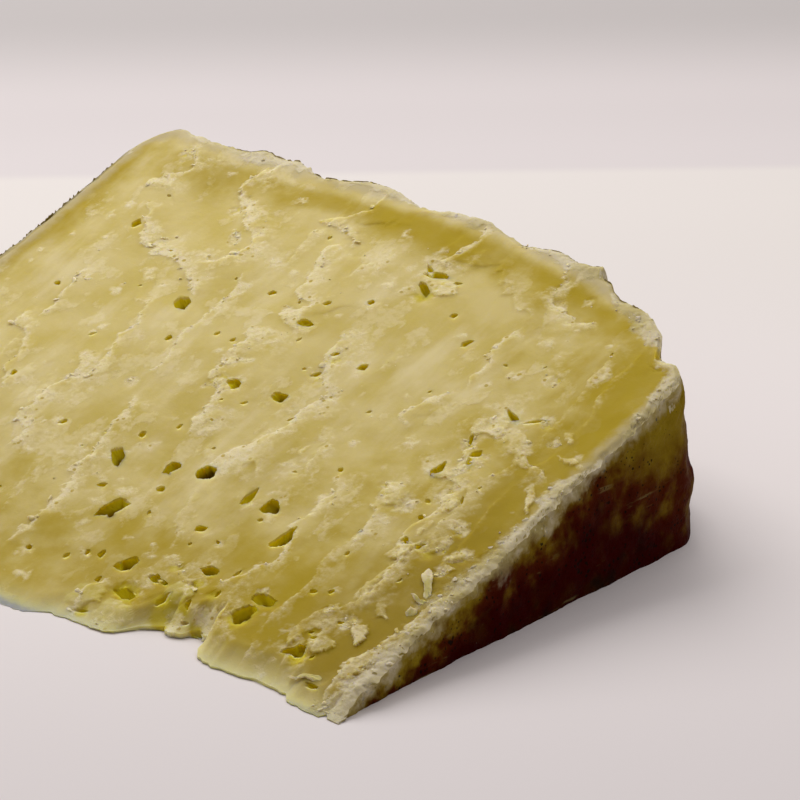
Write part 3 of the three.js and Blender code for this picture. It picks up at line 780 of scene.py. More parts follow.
def box_grid():
    """A closed box of triangles on whole-number places, without its lower face.

    Returns the places (i, j, k), the triangles and the lower face's outline."""
    nx, nr, na = GRID["x"], GRID["r"], GRID["angle"]
    quads = []

    def face(first, second, fixed, value, axis_a, axis_b, flip):
        a, b = np.meshgrid(np.arange(first), np.arange(second), indexing="ij")
        corners = []
        for da, db in ((0, 0), (1, 0), (1, 1), (0, 1)):
            place = np.zeros(a.shape + (3,), dtype=np.int64)
            place[..., axis_a] = a + da
            place[..., axis_b] = b + db
            place[..., fixed] = value
            corners.append(place.reshape(-1, 3))
        if flip:
            corners = corners[::-1]
        quads.append(np.stack(corners, axis=1))

    face(nx, nr, 2, na, 0, 1, False)
    face(nx, na, 1, 0, 0, 2, False)
    face(nx, na, 1, nr, 0, 2, True)
    face(nr, na, 0, nx, 1, 2, False)
    face(nr, na, 0, 0, 1, 2, True)
    quads = np.concatenate(quads)
    thin = quads[..., 1] == 0
    layer = np.rint(quads[..., 2] / na * THIN_LAYERS) * (na // THIN_LAYERS)
    quads[..., 2] = np.where(thin, layer.astype(np.int64), quads[..., 2])
    triangles = np.concatenate([quads[:, [0, 1, 2]], quads[:, [0, 2, 3]]])
    keys = (triangles[..., 0] * (nr + 1) + triangles[..., 1]) * (na + 1) + triangles[..., 2]
    unique, inverse = np.unique(keys, return_inverse=True)
    triangles = inverse.reshape(-1, 3)
    distinct = (triangles[:, 0] != triangles[:, 1]) & (triangles[:, 1] != triangles[:, 2])
    triangles = triangles[distinct & (triangles[:, 0] != triangles[:, 2])]
    column, k = unique // (na + 1), unique % (na + 1)
    i, j = column // (nr + 1), column % (nr + 1)
    places = np.stack([i, j, k], axis=1)
    on_outline = (k == 0) & ((i == 0) | (i == nx) | (j == 0) | (j == nr))
    outline = np.nonzero(on_outline)[0]
    turn = np.arctan2(j[outline] / nr - 0.5, i[outline] / nx - 0.5)
    return places, triangles, outline[np.argsort(turn)]


def bend(places):
    """Bends the box's places into the wedge, relief included."""
    t = 2 * places[:, 0] / GRID["x"] - 1
    out = places[:, 1] / GRID["r"]
    turn = places[:, 2] / GRID["angle"]
    x = HALF_HEIGHT * t * (1 + END_CROWDING * (1 - t * t))
    angle = turn * CUT_ANGLE
    loss = edge_loss(x)
    radius = outer_radius(x)
    inner = np.stack([x, loss, turn * (EDGE_THICKNESS + loss * math.tan(CUT_ANGLE))], axis=1)
    outer = np.stack([x, radius * np.cos(angle), radius * np.sin(angle)], axis=1)
    points = inner + (outer - inner) * out[:, None]
    r = np.hypot(points[:, 1], points[:, 2])
    top = places[:, 2] == GRID["angle"]
    relief = cut_face(x[top], r[top])["relief"]
    points[top] += np.maximum(relief, LEAST_THICKNESS - points[top, 2])[:, None] * CUT_NORMAL
    back = out > 1 - RELIEF_REACH["r"]
    push = rind_relief(x[back], angle[back] * radius[back]) * smooth_step(1 - RELIEF_REACH["r"], 1, out[back])
    points[back, 1] += push * np.cos(angle[back])
    points[back, 2] += push * np.sin(angle[back])
    for side, toward in ((0, -t), (1, t)):
        end = toward > 1 - RELIEF_REACH["x"]
        push = end_relief(r[end], points[end, 2], side) * smooth_step(1 - RELIEF_REACH["x"], 1, toward[end])
        points[end, 0] += (2 * side - 1) * push
    points[places[:, 2] == 0, 2] = 0
    return feathered(points, x)


def body_mesh():
    """The whole wedge as one closed mesh, its flat base split into few triangles."""
    places, triangles, outline = box_grid()
    points = bend(places)
    loop = [Vector((points[k, 0], points[k, 1], 0)) for k in outline]
    base = np.array(tessellate_polygon([loop]))
    base = outline[base]
    a, b, c = (points[base[:, n], :2] for n in range(3))
    turn = (b[:, 0] - a[:, 0]) * (c[:, 1] - a[:, 1]) - (b[:, 1] - a[:, 1]) * (c[:, 0] - a[:, 0])
    up = turn > 0
    base[up] = base[up][:, ::-1]
    return new_object("cheese", points, np.concatenate([triangles, base]))


# ---- eyes ----


def unit_ball(subdivisions):
    """Directions and triangles of an evenly split ball."""
    ball = bmesh.new()
    bmesh.ops.create_icosphere(ball, subdivisions=subdivisions, radius=1.0)
    ball.verts.ensure_lookup_table()
    directions = np.array([v.co[:] for v in ball.verts])
    triangles = np.array([[v.index for v in f.verts] for f in ball.faces])
    ball.free()
    return unit(directions), triangles


def chunk_radii(directions, draw, count, facet_count, least):
    """Radii of angular lumps: what random planes leave of a ball, one row a lump."""
    normals = unit(draw.normal(size=(count, facet_count, 3)))
    reach = draw.uniform(least, 0.95, size=(count, 1, facet_count))
    facing = np.einsum("pd,cfd->cpf", directions, normals)
    radii = np.where(facing > 0.15, reach / np.maximum(facing, 0.15), 9.0).min(axis=2)
    return np.minimum(radii, 1.2)


def blunt_lift(x, r):
    """How far the bare face stands above the plane through the axis."""
    loss = edge_loss(x)
    return EDGE_THICKNESS * math.cos(CUT_ANGLE) * np.clip(1 - (r - loss) / (outer_radius(x) - loss), 0, 1)


def face_place(x, r, lift):
    """Points of the upper cut face at x and r, raised along its normal."""
    x, r = np.asarray(x, float), np.asarray(r, float)
    height = cut_face(x, r)["relief"] + blunt_lift(x, r) + lift
    points = np.stack([x, r * math.cos(CUT_ANGLE), r * math.sin(CUT_ANGLE)], axis=-1)
    return feathered(points + height[..., None] * CUT_NORMAL, x)


def face_axes(turns):
    """Length, width and height directions on the cut face for turns in degrees."""
    angle = np.radians(np.asarray(turns, float))[:, None]
    along = np.cos(angle) * ALONG_X + np.sin(angle) * CUT_OUT
    across = -np.sin(angle) * ALONG_X + np.cos(angle) * CUT_OUT
    return np.stack([along, across, np.broadcast_to(CUT_NORMAL, along.shape)], axis=1)


def small_eyes():
    """Small eyes, mostly in the half nearer to the thin edge, as in the solid."""
    count = 0
    found = []

    def draw():
        nonlocal count
        count += 1
        return float(hash01(count, SEED * 7, SEED))

    while len(found) < SMALL_EYES["count"]:
        x = (2 * draw() - 1) * (HALF_HEIGHT - 9)
        r = 9 + 84 * draw() ** 1.25
        length = between(SMALL_EYES["least"], SMALL_EYES["most"], draw() ** 2)
        eye = (x, r, length, length * (0.6 + 0.3 * draw()), 180 * draw())
        clear = all(math.hypot(other[0] - x, other[1] - r) > EYE_GAPS["small"] for other in EYES + found)
        if clear and r < outer_radius(np.array(x)) - EYE_GAPS["small_rind"]:
            found.append(eye)
    return found


def pinholes():
    """Openings of a millimetre or so, scattered everywhere but thickest low down."""
    draw = np.random.default_rng(PINHOLES["seed"])
    found = []
    taken = [eye[:2] for eye in EYES + small_eyes()]
    while len(found) < PINHOLES["count"]:
        x = draw.uniform(-HALF_HEIGHT + 5, HALF_HEIGHT - 6)
        r = 5 + 92 * draw.uniform() ** 1.2
        length = draw.uniform(PINHOLES["least"], PINHOLES["most"])
        eye = (x, r, length, length * draw.uniform(0.55, 0.9), draw.uniform(0, 180))
        clear = all(math.hypot(a - x, b - r) > EYE_GAPS["pinhole"] for a, b in taken)
        if clear and r < outer_radius(np.array(x)) - EYE_GAPS["pinhole_rind"]:
            found.append(eye)
            taken.append((x, r))
    return found


def eye_lumps(split, eyes, depths, seed, shrink=1.0, side=0.0):
    """Angular lumps set in the face, deeper and steeper on the side of greater x."""
    directions, triangles = unit_ball(split)
    x, r, length, width, turn = np.array(eyes).T
    draw = np.random.default_rng(seed)
    size = np.stack([length / 2, width / 2, np.asarray(depths)], axis=1)
    radii = chunk_radii(directions, draw, len(eyes), EYE_FACETS, EYE_LEAST)
    wobble = 1 + 0.04 * draw.normal(size=radii.shape)
    local = directions[None] * (radii * wobble)[..., None] * size[:, None] * shrink
    if side:
        angle = draw.uniform(0, 2 * math.pi, size=len(eyes))
        shift = np.stack([np.cos(angle), np.sin(angle), np.full(len(eyes), -0.1)], axis=1)
        local = local + (side * shift * size)[:, None]
    points = np.einsum("cpa,cab->cpb", local, face_axes(turn))
    across = points @ ALONG_X - 0.5 * (points @ CUT_OUT)
    points = points - (0.36 * across)[..., None] * CUT_NORMAL
    points = points + face_place(x, r, -0.12 * np.minimum(width, 2.5))[:, None]
    return [(lump, triangles) for lump in points]


def eye_cutters():
    """Two meshes of angular lumps: every eye, and a second lobe for the large ones."""
    shapes = []
    for eyes, (share, extra, split, seed) in zip((EYES, small_eyes(), pinholes(), CREVICES), EYE_CUTS):
        depths = [share * eye[3] + extra for eye in eyes]
        if eyes is EYES:
            depths = [EYE_DEPTHS.get(k, depth) for k, depth in enumerate(depths)]
            lobes = eye_lumps(LOBE["split"], eyes, depths, LOBE["seed"], LOBE["size"], LOBE["shift"])
        shapes += eye_lumps(split, eyes, depths, seed)
    return joined("eyes_first", shapes), joined("eyes_second", lobes)


def baked(obj):
    """Replaces an object's mesh with what its modifiers make of it."""
    graph = bpy.context.evaluated_depsgraph_get()
    graph.update()
    mesh = bpy.data.meshes.new_from_object(obj.evaluated_get(graph))
    obj.modifiers.clear()
    old = obj.data
    obj.data = mesh
    bpy.data.meshes.remove(old)


def cut_eyes(obj):
    """Cuts the eyes out of the body, with the two meshes one after the other."""
    for cutter in eye_cutters():
        cut = obj.modifiers.new("eyes", "BOOLEAN")
        cut.operation = "DIFFERENCE"
        cut.solver = "MANIFOLD"
        cut.object = cutter
        baked(obj)
        mesh = cutter.data
        bpy.data.objects.remove(cutter)
        bpy.data.meshes.remove(mesh)


def thin_out(obj, triangles):
    """Collapses the flattest edges until the mesh has about that many triangles."""
    reduce = obj.modifiers.new("thin", "DECIMATE")
    reduce.ratio = min(1.0, triangles / sum(len(p.vertices) - 2 for p in obj.data.polygons))
    reduce.use_collapse_triangulate = True
    baked(obj)


# ---- crumbs and flakes ----


def clear_of_eyes(x, r, margin):
    """Which places lie farther than a margin from the eyes and the small eyes."""
    clear = np.ones(x.shape, dtype=bool)
    for at_x, at_r, length, width, _ in EYES + small_eyes():
        clear &= np.hypot(x - at_x, r - at_r) > 0.5 * max(length, width) + margin
    return clear


def scattered(count, draw, weight, margin):
    """Places on the cut face, drawn so that more land where the weight is greater."""
    xs, rs = [], []
    while sum(len(x) for x in xs) < count:
        x = draw.uniform(-HALF_HEIGHT + 0.3, HALF_HEIGHT - 0.3, size=TRIES * count)
        r = draw.uniform(0.5, WHEEL_RADIUS, size=TRIES * count)
        level = draw.random(TRIES * count)
        keep = (rind_gap(x, r) > 0.25) & (r > edge_loss(x) + 0.4)
        x, r, level = x[keep], r[keep], level[keep]
        keep = level < weight(x, r)
        x, r = x[keep], r[keep]
        keep = clear_of_eyes(x, r, margin)
        xs.append(x[keep])
        rs.append(r[keep])
    return np.concatenate(xs)[:count], np.concatenate(rs)[:count]


def random_turns(draw, count):
    """Random rotation matrices."""
    a = unit(draw.normal(size=(count, 3)))
    b = draw.normal(size=(count, 3))
    b = unit(b - a * (a * b).sum(axis=1)[:, None])
    return np.stack([a, b, np.cross(a, b)], axis=1)


def crumbs(name, weight, count, least, most, seed):
    """Angular crumbs half sunk in the torn paste, most where the weight is greatest."""
    draw = np.random.default_rng(seed)
    directions, triangles = unit_ball(CRUMB_SPLIT)
    x, r = scattered(count, draw, weight, 0.2)
    size = between(least, most, draw.random(count) ** 2.5)
    radii = chunk_radii(directions, draw, count, CRUMB_FACETS, CRUMB_LEAST)
    stretch = draw.uniform(0.5, 1.0, size=(count, 1, 3))
    local = directions[None] * radii[..., None] * stretch * size[:, None, None] / 2
    points = np.einsum("cpa,cab->cpb", local, random_turns(draw, count))
    points = points + face_place(x, r, -0.05 * size)[:, None]
    return copies(name, points, triangles)


def leaf_triangles(rings, spokes):
    """Triangles of a closed leaf: a ragged disc with a top and an underside."""
    top = [[1 + (k * spokes) + s for s in range(spokes)] for k in range(rings)]
    under_start = 1 + rings * spokes
    under = [[under_start + 1 + (k * spokes) + s for s in range(spokes)] for k in range(rings - 1)]
    under.append(top[-1])
    triangles = []
    for centre, circles, flip in ((0, top, False), (under_start, under, True)):
        for s in range(spokes):
            n = (s + 1) % spokes
            made = [(centre, circles[0][s], circles[0][n])]
            for inner, outer in zip(circles, circles[1:]):
                made.append((inner[s], outer[s], outer[n]))
                made.append((inner[s], outer[n], inner[n]))
            triangles += [t[::-1] for t in made] if flip else made
    return np.array(triangles)


def leaves(draw, length, width, thickness, curl):
    """Points of thin leaves with ragged rims, lying flat and centred, one row a leaf."""
    count, rings, spokes, lobes = len(length), LEAF_RINGS, LEAF_SPOKES, LEAF_LOBES
    spoke = np.arange(spokes) / spokes * 2 * math.pi
    wave = draw.uniform(0, 2 * math.pi, size=(count, 3, 1))
    rim = 0.84 + lobes * (np.cos(2 * spoke + wave[:, 0]) + 0.8 * np.cos(3 * spoke + wave[:, 1]))
    rim = rim + 0.7 * lobes * np.cos(5 * spoke + wave[:, 2]) + 0.04 * draw.normal(size=(count, spokes))
    rim = rim + 0.10 * ragged(2 * np.cos(spoke) + 9 * wave[:, 0], 2 * np.sin(spoke), 1.0, 3, 610)
    rim = np.clip(rim, 0.5, 1.12)
    flat = []
    for k in range(1, rings + 1):
        share = k / rings
        reach = rim * share ** 0.8
        level = np.full((count, spokes), 1 - share ** 2)
        flat.append(np.stack([reach * np.cos(spoke), reach * np.sin(spoke), level], axis=2))
    middle = np.zeros((count, 1, 3))
    middle[..., 2] = 1
    top = np.concatenate([middle] + flat, axis=1)
    under = np.concatenate([middle] + flat[:-1], axis=1)
    under[..., 2] *= -1
    points = np.concatenate([top, under], axis=1)
    u, v, side = points[..., 0], points[..., 1], points[..., 2]
    length, width, thickness, curl = (np.asarray(a)[:, None] for a in (length, width, thickness, curl))
    bumps = 0.12 * np.sin(3.1 * u + wave[:, 0]) * np.sin(2.7 * v + wave[:, 1])
    rise = curl * length * 0.5 * u * u + bumps * thickness
    height = side * thickness / 2 * (1 + 0.3 * np.sin(5 * u + wave[:, 2])) + rise
    return np.stack([u * length / 2, v * width / 2, height], axis=2), leaf_triangles(rings, spokes)


def tilted(points, tilt, roll):
    """Leaves hinged near their low end: the far end raised by tilt, then rolled, in radians."""
    tilt, roll = tilt[:, None], roll[:, None]
    x, y, z = points[..., 0], points[..., 1], points[..., 2]
    y, z = y * np.cos(roll) - z * np.sin(roll), y * np.sin(roll) + z * np.cos(roll)
    return np.stack([x * np.cos(tilt) - z * np.sin(tilt), y, x * np.sin(tilt) + z * np.cos(tilt)], axis=2)


def downhill(x, r, field):
    """The direction in degrees in which a field of the cut face falls."""
    step = 0.5
    fall_x = field(x - step, r) - field(x + step, r)
    fall_r = field(x, r - step) - field(x, r + step)
    return np.degrees(np.arctan2(fall_r, fall_x))


def loose_leaves(name, weight, field, count, least, most, spread, tilts, seed):
    """Leaves whose inner end is stuck in the face and whose tip points downhill of a field."""
    draw = np.random.default_rng(seed)
    x, r = scattered(count, draw, weight, 0.3)
    length = between(least, most, draw.random(count) ** 2)
    width = length * draw.uniform(0.4, 0.85, size=count)
    thickness = 0.10 + 0.12 * length
    points, triangles = leaves(draw, length, width, thickness, draw.uniform(-0.25, 0.3, size=count))
    points[..., 0] += 0.30 * length[:, None]
    points = tilted(points, np.radians(draw.uniform(*tilts, size=count)), draw.uniform(-0.4, 0.4, size=count))
    turn = downhill(x, r, field) + draw.normal(size=count) * spread
    points = np.einsum("cpa,cab->cpb", points, face_axes(turn)) + face_place(x, r, 0.0)[:, None]
    return copies(name, points, triangles)


def resampled(outline, count):
    """Evenly spaced places along a closed outline."""
    corners = np.array(outline + outline[:1], float)
    steps = np.hypot(*np.diff(corners, axis=0).T)
    way = np.concatenate([[0], np.cumsum(steps)])
    places = np.arange(count) / count * way[-1]
    return np.stack([np.interp(places, way, corners[:, k]) for k in (0, 1)], axis=1)


def flakes():
    """The large flakes, each a thin ragged slab lying on the face."""
    rings, spokes = FLAKE_RINGS, FLAKE_SPOKES
    shares = np.repeat(1 - (1 - np.arange(1, rings + 1) / rings) ** 1.8, spokes)
    shapes, rims = [], []
    for thickness, rise, towards, outline in FLAKES:
        rim = resampled(outline, spokes)
        wander = [ragged(rim[:, 0], rim[:, 1], 1.0, 3, seed) for seed in (621, 631)]
        rim = rim + 0.22 * np.stack(wander, axis=1)
        middle = rim.mean(axis=0)
        spread = middle + np.tile(rim - middle, (rings, 1)) * shares[:, None]
        inner = spread[:-spokes]
        places = np.concatenate([[middle], spread, [middle], inner])
        level = 1 - shares ** 12
        level = np.concatenate([[1.0], level, [-1.0], -level[:-spokes]])
        x, r = places.T
        angle = math.radians(towards)
        way = (x - middle[0]) * math.cos(angle) + (r - middle[1]) * math.sin(angle)
        way = (way - way.min()) / (way.max() - way.min())
        base = cut_face(middle[:1], middle[1:])["relief"] + blunt_lift(middle[:1], middle[1:])
        grain = 0.10 * ragged(x, r, 1.2, 4, 640) + 0.05 * facets(x, r, 1.0, 645)
        height = thickness * (0.1 + 0.5 * level) + rise * way ** 1.5 + grain - 0.5 * (1 - way) ** 2
        flat = np.stack([x, r * math.cos(CUT_ANGLE), r * math.sin(CUT_ANGLE)], axis=1)
        flat = flat + (height + base)[:, None] * CUT_NORMAL
        points = 0.25 * flat + 0.75 * face_place(x, r, height)
        points[:, 2] = np.maximum(points[:, 2], 0.02 + 0.1 * (level > 0))
        shapes.append(points)
        rims.append(np.concatenate([[0], shares, [0], shares[:-spokes]]) * (0.15 + 0.85 * way))
    made = copies("flakes", np.array(shapes), leaf_triangles(rings, spokes))
    set_mask(made, "rim", np.concatenate(rims))
    return made


# ---- colour masks ----


def working_points(obj):
    """An object's points back in the working frame, millimetres."""
    points = np.empty(3 * len(obj.data.vertices), dtype=np.float32)
    obj.data.vertices.foreach_get("co", points)
    points = points.reshape(-1, 3).astype(float) / MM
    points[:, 1] += MIDDLE_Y
    return points


def set_mask(obj, name, values):
    """Stores a number for each point of an object, for its material to read."""
    mask = obj.data.attributes.new(name, "FLOAT", "POINT")
    mask.data.foreach_set("value", np.asarray(values, dtype=np.float32))


def golden(x, r):
    """1 where the paste is golden: dry behind the rind and along the ends, and towards the near end and the
    thin edge, where it is partly painted shade.
    """
    top_gap = outer_radius(x) - r
    end_gap = HALF_HEIGHT - np.abs(x)
    wander = 4.5 * noise(x / 15, r / 15, 601) + 2.0 * noise(x / 5, r / 5, 602)
    right = smooth_step(15, 45, x)
    top = smooth_step(1.5, 5, top_gap + 0.2 * wander) * (1 - smooth_step(6, 15 + 9 * right, top_gap + wander))
    side = smooth_step(2.5, 5.5, end_gap) * (1 - smooth_step(7, 24, end_gap + wander))
    side = side * np.where(x > 0, 1.0, 0.0)
    far = (1 - smooth_step(1, 9, end_gap + 0.6 * wander)) * np.where(x < 0, 0.75, 0.0)
    low = (1 - smooth_step(10, 46, r + wander)) * (0.45 + 0.55 * smooth_step(-25, 40, x))
    # Gold rising towards the near end: partly the paste's own tone, partly painted shade.
    gold_and_shade_ramp = 0.6 * smooth_step(-45, 30, x) + 0.2 * smooth_step(25, 50, x)
    broad = (1 - smooth_step(10, 75, r + 1.5 * wander)) * gold_and_shade_ramp
    broad = np.maximum(broad, 0.6 * smooth_step(15, 60, x + wander))
    broad = np.maximum(broad, smooth_step(40, 62, x + wander))
    golds = [top * (0.55 + 0.35 * smooth_step(-50, -20, x)), side, far, low, broad]
    return np.clip(np.maximum.reduce(golds), 0, 1)


def paint_masks(obj):
    """Stores what kind of place each point of a piece is at: torn, crusty, golden and so on."""
    points = working_points(obj)
    x = points[:, 0]
    r = points @ CUT_OUT
    face = cut_face(x, r)
    depth = (face_place(x, r, 0) - points) @ CUT_NORMAL
    # Painted shade in the broad dents where crumbs broke away.
    hollow_shade = np.where(depth < 1.5, smooth_step(0.05, 0.45, face["dent"]), 0)
    gap = rind_gap(x, r)
    inside = (gap > PIT["rind"]) & (r > edge_loss(x) + PIT["edge"]) & (points[:, 2] > PIT["base"])
    pit = np.where(inside, np.clip(depth - PIT["depth"], 0, 9), 0)
    masks = {
        "pit": pit,
        "torn": np.where(pit > 0.2, 0, face["white"]),
        # Painted shade in the low facets of torn places.
        "crack_shade": np.clip(-face["broken"], 0, 1),
        "hollow_shade": hollow_shade,
        "plate": np.where(depth < 0.8, face["plate"], 0),
        # old: how slowly the rind's darkening, partly painted shade, sets in further down.
        "old": np.where(x > 0, smooth_step(56, 82, r) - 0.6 * (1 - smooth_step(20, 50, r)), 0.8),
        "crust": np.where(depth < 2.5, face["crust"], 0),
        "gold": golden(x, r),
        # deep: deeper gold towards the near end and the thin edge, partly painted shade.
        "deep": smooth_step(38, 56, x) * (1 - smooth_step(25, 70, r)),
        "gap": np.clip(gap, 0, 60),
        "far_end": smooth_step(-HALF_HEIGHT + 0.5, -HALF_HEIGHT, x),
        "below": np.clip(depth, 0, 60),
        # edge: where painted light shines through the thin edge.
        "edge": 1 - smooth_step(0.2, 6.5, r - edge_loss(x)),
    }
    for name, values in masks.items():
        set_mask(obj, name, values)


def split_materials(obj, paste, rind):
    """The paste's material on cut faces and in eyes, the rind's on the outside."""
    obj.data.materials.clear()
    obj.data.materials.append(paste)
    obj.data.materials.append(rind)
    points = working_points(obj)
    faces = np.empty(3 * len(obj.data.polygons), dtype=np.int32)
    obj.data.polygons.foreach_get("vertices", faces)
    corners = points[faces.reshape(-1, 3)]
    normals = np.cross(corners[:, 1] - corners[:, 0], corners[:, 2] - corners[:, 0])
    normals /= np.linalg.norm(normals, axis=1)[:, None] + 1e-12
    middle = corners.mean(axis=1)
    distance = np.hypot(middle[:, 1], middle[:, 2])
    round_side = outer_radius(middle[:, 0]) - distance < RIND_ZONE["round"]
    round_side &= distance > RIND_ZONE["least_r"]
    end_side = HALF_HEIGHT - np.abs(middle[:, 0]) < RIND_ZONE["end"]
    steep = np.abs(normals @ CUT_NORMAL) < RIND_ZONE["steep"]
    steep &= np.abs(normals[:, 2]) < RIND_ZONE["steep_base"]
    outside = (round_side | end_side) & steep
    obj.data.polygons.foreach_set("material_index", outside.astype(np.int32))
    obj.data.polygons.foreach_set("use_smooth", np.ones(len(outside), dtype=bool))
    obj.data.set_sharp_from_angle(angle=SHARP_ANGLE)
    obj.data.update()


# ---- materials ----


class Finish:
    """A material with one Principled shader and short ways to add nodes to it."""

    def __init__(self, name, base, **constants):
        self.base = base
        self.material = bpy.data.materials.new(name)
        self.material.use_nodes = True
        self.tree = self.material.node_tree
        self.shader = self.tree.nodes["Principled BSDF"]
        for socket, value in constants.items():
            self.shader.inputs[socket.replace("_", " ")].default_value = value
        self.place = self.tree.nodes.new("ShaderNodeTexCoord").outputs["Object"]

    def join(self, value, socket):
        """Links a node's output to a socket, or sets the socket to a constant."""
        if isinstance(value, bpy.types.NodeSocket):
            self.tree.links.new(value, socket)
        else:
            socket.default_value = value

    def node(self, kind, output, inputs, **settings):
        """Adds a node, joins or sets its inputs, and returns one of its outputs."""
        made = self.tree.nodes.new(kind)
        for name, value in settings.items():
            setattr(made, name, value)
        for name, value in inputs.items():
            self.join(value, made.inputs[name])
        return made.outputs[output]

    def mask(self, name):
        """A number that the mesh stores at its points."""
        return self.node("ShaderNodeAttribute", "Fac", {}, attribute_name=name)

    def scaled(self, size_mm, stretch=(1, 1, 1)):
        """The place in the object, in steps of a size."""
        factors = [1 / (size_mm * MM * s) for s in stretch]
        return self.node("ShaderNodeVectorMath", 0, {0: self.place, 1: factors}, operation="MULTIPLY")

    def grain(self, size_mm, detail=3.0, stretch=(1, 1, 1)):
        """Noise around 0.5 with features of about that size."""
        inputs = {"Vector": self.scaled(size_mm, stretch), "Scale": 1.0, "Detail": detail, "Roughness": 0.55}
        return self.node("ShaderNodeTexNoise", "Fac", inputs)

    def cells(self, size_mm):
        """Distance to the nearest of scattered points, in cells."""
        return self.node("ShaderNodeTexVoronoi", "Distance", {"Vector": self.scaled(size_mm), "Scale": 1.0})

    def sum(self, a, b, operation="ADD"):
        return self.node("ShaderNodeMath", 0, {0: a, 1: b}, operation=operation)

    def times(self, a, b):
        return self.sum(a, b, "MULTIPLY")

    def about(self, value, amount):
        """A value around 0.5 turned into one around 0, times the amount."""
        return self.times(self.sum(value, -0.5), amount)

    def fade(self, value, low, high, to_low=0.0, to_high=1.0):
        """A smooth change from to_low to to_high as value goes from low to high."""
        inputs = {"Value": value, "From Min": low, "From Max": high, "To Min": to_low, "To Max": to_high}
        return self.node("ShaderNodeMapRange", "Result", inputs, interpolation_type="SMOOTHSTEP")

    def mix(self, amount, first, second):
        inputs = {"Factor": amount, "A": first, "B": second}
        return self.node("ShaderNodeMix", "Result", inputs, data_type="RGBA")

    def lay(self, amount, tone):
        """Lays a tone over the base as far as the amount says."""
        self.base = self.mix(amount, self.base, tone)

    def bump(self, height, depth_mm, strength, before=None):
        inputs = {"Height": height, "Distance": depth_mm * MM, "Strength": strength}
        if before is not None:
            inputs["Normal"] = before
        return self.node("ShaderNodeBump", "Normal", inputs)

    def finish(self, roughness, normal):
        self.join(self.base, self.shader.inputs["Base Color"])
        self.join(roughness, self.shader.inputs["Roughness"])
        self.join(normal, self.shader.inputs["Normal"])
        return self.material


def waxy_finish(name, base, scatter_mm, specular):
    """A finish of paste, which light enters and scatters in."""
    return Finish(name, base, Subsurface_Weight=1.0, Subsurface_Radius=SCATTER,
                  Subsurface_Scale=scatter_mm * MM, IOR=WAX_IOR, Specular_IOR_Level=specular)


def paste_ground(m, mask, cloud, patch):
    """Pale and warm paste, golden where it is dry and greyish along the rind, with painted light and shade.
    """
    gold = mask["gold"]
    m.lay(m.fade(cloud, 0.35, 0.68), PASTE_WARM)
    # Gold behind the rind is dry paste; towards the near end and the thin edge the gold, deepest there, is
    # partly painted shade.
    rich = m.sum(gold, m.times(m.about(cloud, 1.1), m.fade(gold, 0.0, 0.3)))
    m.lay(m.fade(rich, 0.0, 1.0), m.mix(mask["deep"], PASTE_GOLD, PASTE_DEEP))
    # The dry border along the rind is weaker at the very edge of the far end.
    border = m.fade(m.sum(mask["gap"], m.about(patch, 3.0)), 0.4, 3.2, 0.75, 0.0)
    m.lay(m.times(border, m.fade(mask["far_end"], 0.0, 0.2, 1.0, 0.4)), CRUST_GREY)
    # Painted light shining through the thin edge.
    m.lay(m.times(mask["edge"], 0.75), THIN_EDGE_GLOW)
    # Painted shade in the broad dents where crumbs broke away.
    m.lay(m.times(mask["hollow_shade"], 0.85), HOLLOW_SHADE)
    m.lay(m.times(mask["plate"], 0.5), FLAKE_PALE)


def paste_scales(m, gold, crumb):
    """Whitish veils drawn out towards the rind, and low scales, which it returns."""
    veil = m.fade(m.grain(6.5, 5, stretch=(1, 3.2, 3.2)), 0.46, 0.74, 0.0, 0.4)
    m.lay(m.times(veil, m.fade(gold, 0.2, 1.0, 1.0, 0.05)), CRUMB_WHITE)
    # The scales are a little raised, and weaker in golden places.
    scale = m.sum(m.grain(6.0, 7, stretch=(0.85, 1.35, 1.35)), m.about(m.grain(15, 3), 0.5))
    scale = m.times(m.fade(scale, 0.565, 0.625), m.fade(gold, 0.3, 1.0, 1.0, 0.12))
    m.lay(m.times(scale, m.fade(crumb, 0.3, 0.6, 0.12, 0.32)), CRUMB_WHITE)
    return scale


def paste_tears(m, torn, gold, patch, crumb):
    """Torn places: white where the tear is fresh, which it returns, and flecks around it, with painted shade
    in small hollows among its crumbs.
    """
    frost = m.sum(torn, m.sum(m.about(patch, 1.2), m.about(crumb, 1.2)))
    inner = m.fade(torn, 0.02, 0.2)
    white = m.times(m.fade(frost, 0.4, 1.0), inner)
    pale = m.times(m.times(m.fade(frost, 0.05, 0.6), inner), m.fade(gold, 0.2, 1.0, 0.3, 0.22))
    m.lay(m.sum(pale, m.times(white, 0.46)), CRUMB_WHITE)
    # Painted shade in the small hollows between the torn crumbs.
    hollows = m.fade(m.sum(m.cells(1.7), m.about(m.grain(1.1, 2), 0.3)), 0.12, 0.24, 0.75, 0.0)
    m.lay(m.times(hollows, m.fade(torn, 0.3, 0.6)), PIT_DEEP)
    return white


def paste_crust(m, crust, cloud, patch, crumb):
    """The crumbly crust, which it returns: whitish, with greener patches."""
    crusty = m.fade(m.sum(crust, m.sum(m.about(patch, 1.0), m.about(crumb, 0.9))), 0.25, 0.9)
    m.lay(m.times(crusty, 0.78), m.mix(m.fade(cloud, 0.4, 0.62), CRUST_WHITE, CRUST_GREEN))
    return crusty


